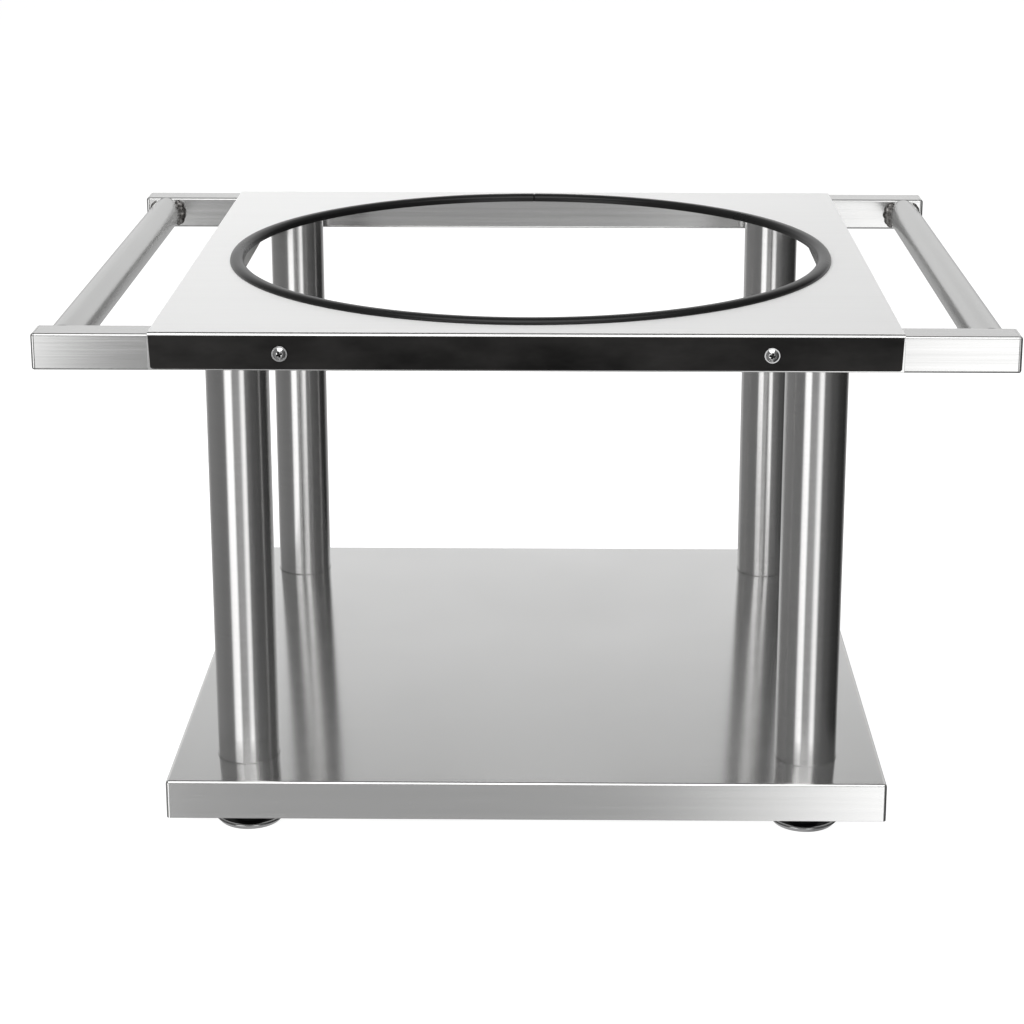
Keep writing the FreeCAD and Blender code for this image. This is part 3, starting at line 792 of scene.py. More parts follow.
def thickened(mesh: bpy.types.Mesh, thickness: float, rounding: float) -> bpy.types.Mesh:
    """Give a skin that faces up the thickness of sheet metal, with its cut edges rounded.

    Args:
        mesh: the outer skin, which is used up.
        thickness: of the sheet, measured inwards.
        rounding: width of the rounding on cut edges.

    Returns:
        A closed mesh.
    """
    name = mesh.name
    normals, areas = face_data(mesh)
    if normals[:, 2] @ areas < 0:
        mesh.flip_normals()
    carrier = linked(f"{name}_skin", mesh)
    wall = carrier.modifiers.new("wall", "SOLIDIFY")
    wall.thickness = thickness
    wall.offset = -1.0
    wall.use_even_offset = True
    edge = carrier.modifiers.new("cut_edges", "BEVEL")
    edge.width = rounding
    edge.segments = CUT_EDGE_STEPS
    edge.limit_method = "ANGLE"
    edge.angle_limit = CUT_EDGE_ANGLE
    graph = bpy.context.evaluated_depsgraph_get()
    made = bpy.data.meshes.new_from_object(carrier.evaluated_get(graph))
    bpy.data.objects.remove(carrier)
    bpy.data.meshes.remove(mesh)
    made.name = name
    return made


def smooth(mesh: bpy.types.Mesh) -> None:
    """Shade a mesh softly, so that large flat faces stay flat and the roundings between them take the turn.

    Each point's normal is the sum of its faces' normals, weighted by their area squared.

    Args:
        mesh: the mesh to shade.
    """
    normals, areas = face_data(mesh)
    sides, corners = np.empty(len(areas), np.int32), np.empty(len(mesh.loops), np.int32)
    mesh.polygons.foreach_get("loop_total", sides)
    mesh.loops.foreach_get("vertex_index", corners)
    weighted = normals * (areas[:, None] / areas.max()) ** 2
    sums = np.zeros((len(mesh.vertices), 3))
    np.add.at(sums, corners, np.repeat(weighted, sides, axis=0))
    mesh.polygons.foreach_set("use_smooth", np.ones(len(areas), bool))
    length = np.linalg.norm(sums, axis=1, keepdims=True)
    mesh.normals_split_custom_set_from_vertices(sums / np.where(length > 0, length, 1.0))


def piece(
    mesh: bpy.types.Mesh, finishes: Sequence[Finish], node: str, body: str = CART
) -> bpy.types.Object:
    """Put a finished mesh into the cart. Its first finish sets the point that its brush lines circle.

    Args:
        mesh: the mesh, whose name the piece takes.
        finishes: its finishes, by material slot of the mesh.
        node: the CAD node that it stands for.
        body: the CAD body that it rides on.

    Returns:
        The new object.
    """
    smooth(mesh)
    first = finishes[0]
    if isinstance(first, BrushedSteel) and first.brush.far_point is not None:
        mesh.use_auto_texspace = False
        mesh.texspace_location = first.brush.far_point
        mesh.texspace_size = (1.0, 1.0, 1.0)
    for finish in finishes:
        mesh.materials.append(finish.material())
    made = linked(mesh.name, mesh)
    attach(made, body)
    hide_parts(node)
    LOG.info("%s: %d faces, for %s", made.name, len(mesh.polygons), node)
    return made


def dress(nodes: Iterable[str], finish: Finish) -> None:
    """Give CAD nodes that stay as they are a finish.

    Args:
        nodes: names of the nodes.
        finish: the finish that they all get.
    """
    for node in nodes:
        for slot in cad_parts[node].material_slots:
            slot.material = finish.material()
        LOG.info("%s: CAD shape, %s", node, finish.name)


@dataclass
class TopSheet:
    """The square sheet, folded down at the front and rear, and the rubber edging round its hole."""

    bend: float = 3.2 * MM
    thickness: float = 1.5 * MM
    cut_edge: float = 0.25 * MM
    hole_radius: float = 261.0 * MM
    side_steps: int = 96
    flat_steps: int = 8
    bend_steps: int = 6
    edging_bead: float = 2.7 * MM
    edging_shoulder: float = 0.5 * MM
    edging_power: float = 2.4
    edging_lip: float = 2.0 * MM
    edging_low: float = 1.2 * MM
    edging_short: float = 0.8 * MM
    edging_round: float = 0.4 * MM
    round_steps: int = 3
    edging_steps: int = 720
    bead_steps: int = 32
    slot_gap: float = 0.1 * MM
    joint_width: float = 0.5 * MM
    joint_reach: float = 3.0
    joint_points: int = 25
    joint_pull: float = 0.12

    def build(self) -> None:
        """Make the sheet and its edging."""
        self.sheet()
        self.edging()

    def sheet(self) -> None:
        """Make the sheet.

        The flat part runs from the hole's circle to the square's sides in straight lines. Each fold is a
        quarter circle carried along the side, and then the flange.
        """
        box = Box.of("top_plate")
        across, deep = box.high[0], box.high[1] - self.bend
        top, bottom = box.high[2], box.low[2]
        flat = holed_net(self.hole_radius, (across, deep), (0, 0, top), self.side_steps, self.flat_steps)
        shape = Shape().add(flat, wrap_columns=True)
        along = np.linspace(-1, 1, self.side_steps + 1)
        for side in ENDS.values():
            fold = arc((deep, top - self.bend), self.bend, 90, 0, self.bend_steps)
            profile = np.concatenate([fold, [(deep + self.bend, bottom)]])
            profile[:, 0] *= side
            strip = np.empty((len(profile), len(along), 3))
            strip[..., 0] = across * along
            strip[..., 1:] = profile[:, None, :]
            shape.add(strip, slot=1)
        mesh = thickened(shape.mesh("sheet_panel"), self.thickness, self.cut_edge)
        piece(mesh, [SHEET_STEEL, FOLD_STEEL], "top_plate")

    def section(self, inner: float, outer: float, box: Box, sheet_top: float) -> Array:
        """Section of the edging, run through once.

        The bead is a superellipse over the sheet's edge, with a higher foot on its outer side, which lies
        on the sheet. Below it the section grips the sheet's edge.

        Args:
            inner: radius of its inner side.
            outer: radius of its outer side.
            box: the node that it stands for.
            sheet_top: height of the sheet's upper face.

        Returns:
            Radius and height of each point.
        """
        top, bottom = box.high[2] - self.edging_low, box.low[2] + self.edging_short
        slot = self.hole_radius - self.slot_gap
        lip = self.hole_radius + self.edging_lip
        under = sheet_top - self.thickness
        middle = (inner + outer) / 2
        turn = np.radians(np.linspace(0, 180, self.bead_steps + 1))
        bulge = np.abs(np.stack([np.cos(turn), np.sin(turn)], -1)) ** (2 / self.edging_power)
        foot = np.where(turn < math.pi / 2, sheet_top - self.edging_shoulder, sheet_top)
        bead = np.stack([
            middle - np.sign(np.cos(turn)) * bulge[:, 0] * (outer - middle),
            foot * (1 - bulge[:, 1]) + top * bulge[:, 1],
        ], -1)
        r = self.edging_round
        return np.concatenate([
            arc((inner + r, bottom + r), r, 270, 180, self.round_steps), bead,
            [(slot, sheet_top), (slot, under), (lip, under), (lip, bottom)],
        ])

    def edging(self) -> None:
        """Make the edging: its section turned about the hole's axis, drawn in where its ends meet.

        The pull is a bell curve of the distance from the joint at the rear, and draws the section towards
        the middle of its bead at the sheet's upper face.
        """
        box = Box.of("hole_trim")
        sheet_top = Box.of("top_plate").high[2]
        inner, outer = self.hole_radius - self.edging_bead, box.high[0]
        profile = self.section(inner, outer, box, sheet_top)
        rear = math.pi / 2
        near = np.linspace(-self.joint_reach, self.joint_reach, self.joint_points) * self.joint_width / outer
        angles = np.unique(np.concatenate([full_turn(self.edging_steps), rear + near]))
        grid = revolved(profile, angles)
        pull = self.joint_pull * np.exp(-((angles - rear) * outer / self.joint_width) ** 2)[:, None]
        direction = np.stack([np.cos(angles), np.sin(angles)], -1)[:, None, :]
        grid[..., :2] -= direction * (pull * (profile[None, :, 0] - (inner + outer) / 2))[..., None]
        grid[..., 2] -= pull * (profile[None, :, 1] - sheet_top)
        mesh = Shape().add(grid, wrap_rows=True, wrap_columns=True).mesh("hole_edging")
        piece(mesh, [TRIM_RUBBER], "hole_trim")


@dataclass
class Frame:
    """Square bars with closed ends, the side tubes under the sheet, and the welded round handles."""

    corner: float = 2.4 * MM
    wall: float = 2.0 * MM
    bore_corner: float = 0.4 * MM
    end_round: float = 2.2 * MM
    arc_steps: int = 8
    round_steps: int = 24
    inner_bead: float = 4.2 * MM
    outer_bead: float = 2.0 * MM
    bead_sweep: float = 50.0
    bead_steps: int = 120
    bead_sides: int = 24
    bead_sunk: float = 0.25
    ripples: int = 5
    ripple_bend: float = 0.8
    swell: Triple = (0.74, 0.2, 0.06)
    wander: Pair = (11.0, 2.0)

    def build(self) -> None:
        """Make all the tubes, the bars' ends and the welds."""
        for end in ENDS:
            self.square_tube(f"{end}_bar", BAR_STEEL, Axis.X)
        # The side tubes get the darker tube steel: painted shade under the sheet.
        for name in SIDES:
            self.square_tube(f"{name}_side_tube", SHADED_SIDE_STEEL, Axis.Y)
        for corner, (side, _) in CORNERS.items():
            self.bar_end(corner, side)
        for name in SIDES:
            self.handle(f"{name}_handle")
        self.welds()

    def square_tube(self, node: str, finish: Finish, axis: Axis) -> None:
        """Make a square tube with round corners.

        Args:
            node: the CAD node that it stands for.
            finish: its finish.
            axis: direction of its length.
        """
        box = Box.of(node)
        outer, inner = (box.half[2], self.corner), (box.half[2] - self.wall, self.bore_corner)
        mesh = tube_mesh(f"{node}_section", self.arc_steps, outer, inner, box, axis)
        piece(mesh, [finish], node)

    def bar_end(self, corner: str, side: int) -> None:
        """Make the closed end of a bar: its outline shrinks along a quarter circle to the end face.

        Args:
            corner: which corner of the cart.
            side: -1 on the left, 1 on the right.
        """
        node = f"{corner}_end_cap"
        box = Box.of(node)
        half, reach = box.half[2], box.half[0]
        turn = np.radians(np.linspace(0, 90, self.arc_steps + 1))
        back = self.end_round * (1 - np.cos(turn))
        edge = np.stack([half - back, self.corner - back, reach - self.end_round * (1 - np.sin(turn))], -1)
        rows = np.concatenate([[(0, 0, -reach), (half, self.corner, -reach)], edge, [(0, 0, reach)]])
        rows[:, 2] *= side
        shape = Shape().add(Outline.make(self.arc_steps).carried(rows, Axis.X, box.centre), wrap_columns=True)
        piece(shape.mesh(f"{corner}_bar_end"), [BAR_STEEL], node)

    def handle(self, node: str) -> None:
        """Make a round handle tube.

        Args:
            node: the CAD node that it stands for.
        """
        box = Box.of(node)
        outer, inner = (box.half[2],) * 2, (box.half[2] - self.wall,) * 2
        mesh = tube_mesh(f"{node}_tube", self.round_steps, outer, inner, box, Axis.Y)
        piece(mesh, [HANDLE_STEEL], node)

    def welds(self) -> None:
        """Make the weld beads: at each end of a handle a thick one on its inner side and a thin outer one."""
        shape = Shape()
        for number, (name, side) in enumerate(SIDES.items()):
            box = Box.of(f"{name}_handle")
            for end in ENDS.values():
                for inward, size in ((-side, self.inner_bead), (side, self.outer_bead)):
                    shape.add(self.bead(box, end, number, inward, size), wrap_columns=True)
        piece(shape.mesh("handle_weld_beads"), [WELD_STEEL], "handle_welds")

    def bead(self, box: Box, end: int, number: int, inward: int, size: float) -> Array:
        """One weld bead.

        It follows part of the circle where a handle meets a bar. Its section is a circle that thins out at
        the bead's ends and swells once per ripple, each ripple bent back along the bead.

        Args:
            box: the handle's node.
            end: -1 at the front, 1 at the rear.
            number: of the handle, which shifts the ripples.
            inward: the side of the handle that it is on, -1 on the left and 1 on the right.
            size: its radius.

        Returns:
            A grid whose columns close on themselves.
        """
        share = np.linspace(-1, 1, self.bead_steps + 1)[:, None]
        section = full_turn(self.bead_sides)[None, :]
        sweep = np.radians(90 - 90 * inward + self.bead_sweep * share)
        phase = self.ripples * math.pi / 2 * share + self.ripple_bend * np.cos(section) + end + number
        plain, ripple, wave = self.swell
        waves = np.sin(self.wander[0] * share + self.wander[1] * section + end)
        swell = plain + ripple * np.abs(np.cos(phase)) + wave * waves
        radius = size * swell * np.sqrt(np.clip(1 - share**4, 0, 1))
        out = box.half[2] + self.bead_sunk * size + radius * np.cos(section)
        along = box.half[1] - self.bead_sunk * size - radius * np.sin(section)
        return np.stack([out * np.cos(sweep), end * along, out * np.sin(sweep)], -1) + box.centre


@dataclass
class Fascia:
    """The black strip on the front flange, and the pan-head screws at the front and rear."""

    taper: float = 1.2 * MM
    cut_corner: float = 1.5 * MM
    edge: float = 0.35 * MM
    edge_steps: int = 3
    strip_steps: int = 60
    steel_shows: float = 1.2 * MM
    shank_radius: float = 3.0 * MM
    head_height: float = 3.6 * MM
    rim_height: float = 1.2 * MM
    rim_edge: float = 0.3 * MM
    head_steps: int = 45
    head_spread: float = 0.9
    head_sides: int = 120
    dome_share: float = 0.8
    dome_power: float = 2.4
    recess_arm: float = 2.7 * MM
    recess_half: float = 0.7 * MM
    recess_depth: float = 2.2 * MM
    recess_wall: float = 0.3 * MM
    recess_run: float = 1.2 * MM
    # Share of the recess depth past which the recess gets the near-black finish: painted shade.
    painted_shade_depth_share: float = 0.35
    slants: Pair = (22.0, -12.0)

    def build(self) -> None:
        """Make the strip and the screws."""
        self.strip()
        self.screws("fascia_screws", "front_screw_pair", ENDS["front"])
        self.screws("rear_screws", "rear_screw_pair", ENDS["rear"])

    def strip(self) -> None:
        """Make the strip: a thin round-edged section carried across, its half length set by the height.

        The half length falls evenly from top to bottom, and by the cut at the lower corners. A line of the
        steel flange shows under the strip.
        """
        box = Box.of("front_fascia")
        deep, tall = box.half[1], box.half[2] - self.steel_shows / 2
        e, steps, cut = self.edge, self.edge_steps, -tall + self.cut_corner
        section = np.concatenate([
            arc((deep - e, tall - e), e, 0, 90, steps), arc((-deep + e, tall - e), e, 90, 180, steps),
            [(-deep, cut)],
            arc((-deep + e, -tall + e), e, 180, 270, steps), arc((deep - e, -tall + e), e, 270, 360, steps),
            [(deep, cut)],
        ])
        height = section[:, 1] + tall
        narrowed = self.taper * (1 - height / (2 * tall))
        reach = box.half[0] - narrowed - np.clip(self.cut_corner - height, 0, None)
        share = np.linspace(-1, 1, self.strip_steps + 1)[:, None]
        grid = np.zeros((self.strip_steps + 3, len(section), 3))
        grid[1:-1, :, 0] = share * reach
        grid[1:-1, :, 1:] = section
        grid[[0, -1], :, 0] = np.array([[-1], [1]]) * (box.half[0] - self.taper / 2)
        grid += box.centre + (0, 0, self.steel_shows / 2)
        mesh = Shape().add(grid, wrap_columns=True).mesh("fascia_strip")
        piece(mesh, [FASCIA_COAT], "front_fascia")

    def screws(self, node: str, name: str, side: int) -> None:
        """Make a pair of pan-head screws.

        The head is a dome, whose height falls with a power of the radius, on a flat round rim. The cross
        recess takes away a smooth hollow along two lines at right angles. The shank is turned about the
        same axis.

        Args:
            node: the CAD node of the pair.
            name: the pair's own name.
            side: -1 at the front, 1 at the rear.
        """
        box = Box.of(node)
        head = box.half[2]
        spacing = box.half[0] - head
        outside, tip = (box.low[1], box.high[1]) if side < 0 else (box.high[1], box.low[1])
        seat = outside - side * self.head_height
        length = abs(tip - seat)
        top = np.linspace(0, 1, self.head_steps + 1) ** self.head_spread * (head - self.rim_edge)
        dome = np.clip(1 - (top / (self.dome_share * head)) ** self.dome_power, 0, None)
        domed = self.rim_height + (self.head_height - self.rim_height) * dome
        radius = np.concatenate([top, [head, head, self.shank_radius, self.shank_radius, 0.0]])[:, None]
        below = [self.rim_height - self.rim_edge, 0.0, 0.0, -length, -length]
        height = np.concatenate([domed, below])[:, None]
        angle = full_turn(self.head_sides)
        shape = Shape()
        for place, slant in zip(SIDES.values(), self.slants):
            turned = angle - math.radians(slant)
            x, z = radius * np.cos(turned), radius * np.sin(turned)
            hollow = np.maximum(self.hollow(x, z), self.hollow(z, x)) * (height > 0)
            grid = np.stack([
                place * spacing + radius * np.cos(angle),
                seat + side * (height - self.recess_depth * hollow),
                box.centre[2] + radius * np.sin(angle),
            ], -1)
            # Quads deeper in the recess than this share get the near-black finish, which is painted shade in
            # the cross.
            shape.add(grid, wrap_columns=True, slot=(hollow[:-1] > self.painted_shade_depth_share).astype(int))
        piece(shape.mesh(name), [CHROME, RECESS_PAINTED_SHADE], node)

    def hollow(self, along: Array, across: Array) -> Array:
        """Share of the recess's depth at a point: one arm, deep on its middle line and fading at its ends.

        Args:
            along: distance along the arm.
            across: distance from its middle line.

        Returns:
            A number from 0 to 1 per point.
        """
        wide = np.clip((self.recess_half - np.abs(across)) / self.recess_wall + 0.5, 0, 1)
        long = np.clip((self.recess_arm - np.abs(along)) / self.recess_run, 0, 1)
        return wide * long


@dataclass
class Legs:
    """Four round legs, the thin washers under them, and the plates and plugs that hold them."""

    wall: float = 1.5 * MM
    round_steps: int = 32
    washer_edge: float = 0.5 * MM
    edge_steps: int = 4
    washer_sides: int = 128
    stud_hole: float = 6.25 * MM

    def build(self) -> None:
        """Make the legs and washers, and dress the hidden pieces."""
        for corner in CORNERS:
            self.leg(f"{corner}_leg")
            self.washer(corner)
        dress([f"{corner}_corner_plate" for corner in CORNERS], PLATE_STEEL)
        dress([f"{corner}_leg_{end}_plug" for corner in CORNERS for end in ("top", "foot")], PLUG_STEEL)
        dress(["leg_bolts", "threaded_inserts"], THREAD_STEEL)

    def leg(self, node: str) -> None:
        """Make one leg tube.

        Args:
            node: the CAD node that it stands for.
        """
        box = Box.of(node)
        outer, inner = (box.half[0],) * 2, (box.half[0] - self.wall,) * 2
        mesh = tube_mesh(f"{node}_tube", self.round_steps, outer, inner, box, Axis.Z)
        piece(mesh, [LEG_STEEL], node)

    def washer(self, corner: str) -> None:
        """Make one washer: a flat section with a round outer edge, turned about the leg's axis.

        Args:
            corner: which corner of the cart.
        """
        node = f"{corner}_leg_washer"
        box = Box.of(node)
        low, high, outer = box.low[2], box.high[2], box.half[0]
        e = self.washer_edge
        profile = np.concatenate([
            [(self.stud_hole, low)], arc((outer - e, low + e), e, -90, 0, self.edge_steps),
            arc((outer - e, high - e), e, 0, 90, self.edge_steps), [(self.stud_hole, high)],
        ])
        grid = revolved(profile, full_turn(self.washer_sides), box.centre[:2])
        mesh = Shape().add(grid, wrap_rows=True, wrap_columns=True).mesh(f"{corner}_leg_ring")
        piece(mesh, [WASHER_STEEL], node)


@dataclass
class Shelf:
    """The folded shelf tray with closed round corners, and its stiffening channels."""

    bend: float = 2.8 * MM
    thickness: float = 1.5 * MM
    cut_edge: float = 0.25 * MM
    stud_hole: float = 6.25 * MM
    patch: float = 20.0 * MM
    patch_steps: int = 8
    patch_rows: int = 3
    plain_steps: int = 12
    bend_steps: int = 6

    def build(self) -> None:
        """Make the tray and dress the channels."""
        self.tray()
        # The channels get the darker tube steel: painted shade under the shelf.
        dress([f"{name}_shelf_channel" for name in SIDES], SHADED_SIDE_STEEL)

    def tray(self) -> None:
        """Make the tray.

        The flat top is a net of straight lines with a square patch left out round each stud hole; in the
        patch the lines run from the hole's circle to the square. The edge is a square outline whose half
        width and corner grow along a quarter circle, and then drops as the flange.
        """
        box = Box.of("shelf_pan")
        half, top, bottom = box.high[0], box.high[2], box.low[2]
        flat = half - self.bend
        leg = Box.of("front_right_leg").centre[0]
        near = np.linspace(leg - self.patch, leg + self.patch, self.patch_steps + 1)
        middle = np.linspace(near[0], -near[0], self.plain_steps + 1)[1:-1]
        places = np.concatenate([[-flat], -near[::-1], middle[::-1], near, [flat]])
        net = np.stack([*np.meshgrid(places, places, indexing="ij"), np.full((len(places),) * 2, top)], -1)
        mid = (places[1:] + places[:-1]) / 2
        in_patch = np.abs(np.abs(mid) - leg) < self.patch
        shape = Shape().add(net, keep=~(in_patch[:, None] & in_patch[None, :]))
        square = (self.patch, self.patch)
        for side_x, side_y in CORNERS.values():
            hole = (side_x * leg, side_y * leg, top)
            patch = holed_net(self.stud_hole, square, hole, self.patch_steps, self.patch_rows)
            shape.add(patch, wrap_columns=True)
        turn = np.radians(np.linspace(0, 90, self.bend_steps + 1))
        rim = self.bend * np.sin(turn)
        drop = top - self.bend * (1 - np.cos(turn))
        rows = np.concatenate([np.stack([flat + rim, rim, drop], -1), [(half, self.bend, bottom)]])
        edge = Outline.make(self.bend_steps, places[1:-1] / flat)
        shape.add(edge.carried(rows, Axis.Z, (0, 0, 0)), wrap_columns=True, slot=1)
        mesh = thickened(shape.mesh("shelf_tray"), self.thickness, self.cut_edge)
        piece(mesh, [SHELF_STEEL, SHELF_EDGE], "shelf_pan")


@dataclass
class Feet:
    """Levelling feet: dished pads, threaded studs with a hexagon collar, and lock nuts."""

    rim_width: float = 3.0 * MM
    rim_height: float = 5.5 * MM
    taper: float = 3.0 * MM
    rim_round: float = 1.1 * MM
    side_slope: float = 20.0
    dish_slope: float = 30.0
    dish_floor: float = 2.0 * MM
    boss_wall: float = 5.0 * MM
    socket_floor: float = 5.8 * MM
    pad_sides: int = 96
    thread_gap: float = 0.05 * MM
    stud_radius: float = 6.0 * MM
    stud_relief: float = 0.3 * MM
    stud_sides: int = 48
    pitch: float = 1.75 * MM
    pitch_rows: int = 8
    thread_depth: float = 0.95 * MM
    thread_flat: float = 0.125
    thread_start: float = 2.0
    collar_low: float = 16.2 * MM
    collar_high: float = 24.2 * MM
    collar_flat: float = 8.5 * MM
    collar_cone: Pair = (0.25 * MM, 1.3 * MM)
    nut_flat: float = 9.5 * MM
    nut_cone: Pair = (0.2 * MM, 1.5 * MM)
    nut_sides: int = 72
    chamfer: float = 0.9 * MM

    def build(self) -> None:
        """Make all four feet."""
        for corner in CORNERS:
            self.pad(corner)
            self.stud(corner)
        self.nuts()

    def pad(self, corner: str) -> None:
        """Make a pad: its dished section with a rolled rim, turned about the leg's axis, with the inside of
        the dish in a near-black finish that is painted shade.

        Args:
            corner: which corner of the cart.
        """
        node = f"{corner}_foot_pad"
        box = Box.of(node)
        rim, top = box.half[0], box.high[2]
        bore = self.stud_radius + self.thread_gap
        boss = bore + self.boss_wall
        lip = rim - self.rim_width
        r, side, inside = self.rim_round, self.side_slope, self.dish_slope
        metal = np.concatenate([
            [(0, 0)], arc((rim - self.taper - r, r), r, -90, -side, steps=4),
            arc((rim - r, self.rim_height - r), r, -side, 90, steps=8),
            arc((lip + r, self.rim_height - r), r, 90, 180 - inside, steps=5),
        ])
        dish = np.concatenate([
            arc((lip - self.taper - r, self.dish_floor + r), r, -inside, -90, steps=4),
            arc((boss + self.taper + r, self.dish_floor + r), r, -90, side - 180, steps=4),
        ])
        post = np.concatenate([
            arc((boss - r, top - r), r, side, 90, steps=4),
            [(bore, top), (bore, self.socket_floor), (0, self.socket_floor)],
        ])
        profile = np.concatenate([metal, dish, post])
        grid = revolved(profile, full_turn(self.pad_sides), box.centre[:2])
        row = np.arange(len(profile) - 1)
        # The inner lip and the dish floor get the near-black finish: painted shade inside the steel dish.
        dark = (row >= len(metal) - 1) & (row < len(metal) + len(dish))
        shape = Shape().add(grid.transpose(1, 0, 2), wrap_columns=True, slot=dark.astype(int))
        mesh = shape.mesh(f"{corner}_disc_foot")
        piece(mesh, [FOOT_STEEL, DISH_PAINTED_SHADE], node, f"{corner}_pad")

    def hexagon(self, angle: Array, flat: float, cone: Pair) -> Array:
        """Radius of a hexagon whose corners are cut by a cone at both faces.

        The radius is half the width across flats over the cosine from the nearest flat, and at most the
        cone's.

        Args:
            angle: angle of each column.
            flat: half the width across flats.
            cone: how far the cone stands off the flats, at a face and past the cut.

        Returns:
            Four rows, from the lower face to the upper one.
        """
        sixth = math.pi / 3
        sides = flat / np.cos((angle + sixth / 2) % sixth - sixth / 2)
        at_face, past = cone
        return np.minimum(sides, flat + np.array([at_face, past, past, at_face])[:, None])

    def stud(self, corner: str) -> None:
        """Make a stud: its radius depends on the angle and the height.

        Above the collar the radius is the thread's crest less a triangular groove whose phase is the height
        over the pitch less the angle's share of a turn, which makes a right-hand thread. The collar is a
        hexagon with its corners cut by a cone.

        Args:
            corner: which corner of the cart.
        """
        node = f"{corner}_foot_stud"
        box = Box.of(node)
        low, high = box.low[2], box.high[2]
        angle = full_turn(self.stud_sides)[None, :]
        c = self.chamfer
        collar = [self.collar_low, self.collar_low + c, self.collar_high - c, self.collar_high]
        rows = int((high - c - self.collar_high) / self.pitch * self.pitch_rows)
        thread = np.linspace(self.collar_high, high - c, rows)[:, None]
        groove = np.abs(((thread / self.pitch - angle / math.tau) % 1.0) * 2 - 1)
        groove = np.clip(groove * (1 + 2 * self.thread_flat) - self.thread_flat, 0, 1)
        fade = np.clip((thread - self.collar_high) / (self.thread_start * self.pitch), 0, 1)
        screw = self.stud_radius - self.thread_depth * fade * groove
        plain = np.full(angle.shape, self.stud_radius - self.stud_relief)
        sides = self.hexagon(angle, self.collar_flat, self.collar_cone)
        radius = np.concatenate([0 * plain, plain, plain, sides, screw, plain - c, 0 * plain])
        height = np.concatenate([[low, low, self.collar_low], collar, thread[:, 0], [high, high]])[:, None]
        grid = polar(radius, angle, height) + (*box.centre[:2], 0)
        mesh = Shape().add(grid, wrap_columns=True).mesh(f"{corner}_thread_stud")
        piece(mesh, [THREAD_STEEL], node, f"{corner}_stud")

    def nuts(self) -> None:
        """Make the lock nuts: hexagons with corners cut by a cone at both faces, round a plain bore."""
        box = Box.of("foot_lock_nuts")
        low, high = box.low[2], box.high[2]
        angle = full_turn(self.nut_sides)[None, :]
        c = self.chamfer
        bore = np.full((2, self.nut_sides), self.stud_radius + self.thread_gap)
        radius = np.concatenate([self.hexagon(angle, self.nut_flat, self.nut_cone), bore])
        ring = polar(radius, angle, np.array([low, low + c, high - c, high, high, low])[:, None])
        shape = Shape()
        for corner in CORNERS:
            x, y, _ = Box.of(f"{corner}_leg").centre
            shape.add(ring + (x, y, 0), wrap_rows=True, wrap_columns=True)
        piece(shape.mesh("lock_nut_set"), [THREAD_STEEL], "foot_lock_nuts")


@dataclass(frozen=True)
class Lamp:
    """A soft studio lamp for matt surfaces: its place, the point it faces, its size and its brightness."""

    name: str
    place: Triple
    target: Triple
    size: Pair
    radiance: float

    def build(self) -> None:
        """Hang the lamp: its power is radiance times area times pi. Polished metal mirrors a card instead."""
        data = bpy.data.lights.new(self.name, "AREA")
        data.shape = "RECTANGLE"
        data.size, data.size_y = self.size
        data.energy = self.radiance * self.size[0] * self.size[1] * math.pi
        lamp = linked(self.name, data)
        lamp.location = self.place
        lamp.rotation_euler = (Vector(self.target) - Vector(self.place)).to_track_quat("-Z", "Y").to_euler()
        lamp.visible_camera = False
        lamp.visible_glossy = False


@dataclass(frozen=True)
class Card:
    """A bright studio card that only polished surfaces see: two corners, its soft margins and its level.

    The margins are at its left and right ends, and the head is the soft margin at its top.
    """

    name: str
    low: Triple
    high: Triple
    margins: Pair
    level: float
    head: float = 0.0

    def build(self) -> None:
        """Stand the card up: a flat net between the two corners, which fades over its margins."""
        material, shader = new_material(self.name)
        x, _, z = shader.split(shader.place())
        left, right = self.margins
        soft = x.step(self.low[0], self.low[0] + left) * (1.0 - x.step(self.high[0] - right, self.high[0]))
        if self.head:
            soft = soft * (1.0 - z.step(self.high[2] - self.head, self.high[2]))
        glow = shader.node("ShaderNodeEmission", {}, {"Strength": self.level})
        clear = shader.node("ShaderNodeBsdfTransparent")
        shader.close(shader.node("ShaderNodeMixShader", {}, {0: soft, 1: clear, 2: glow}))
        material.cycles.emission_sampling = "NONE"
        mesh = Shape().add(flat_net(self.low, self.high)).mesh(self.name)
        mesh.materials.append(material)
        card = linked(self.name, mesh)
        card.visible_camera = False
        card.visible_diffuse = False
        card.visible_transmission = False
        card.visible_shadow = False


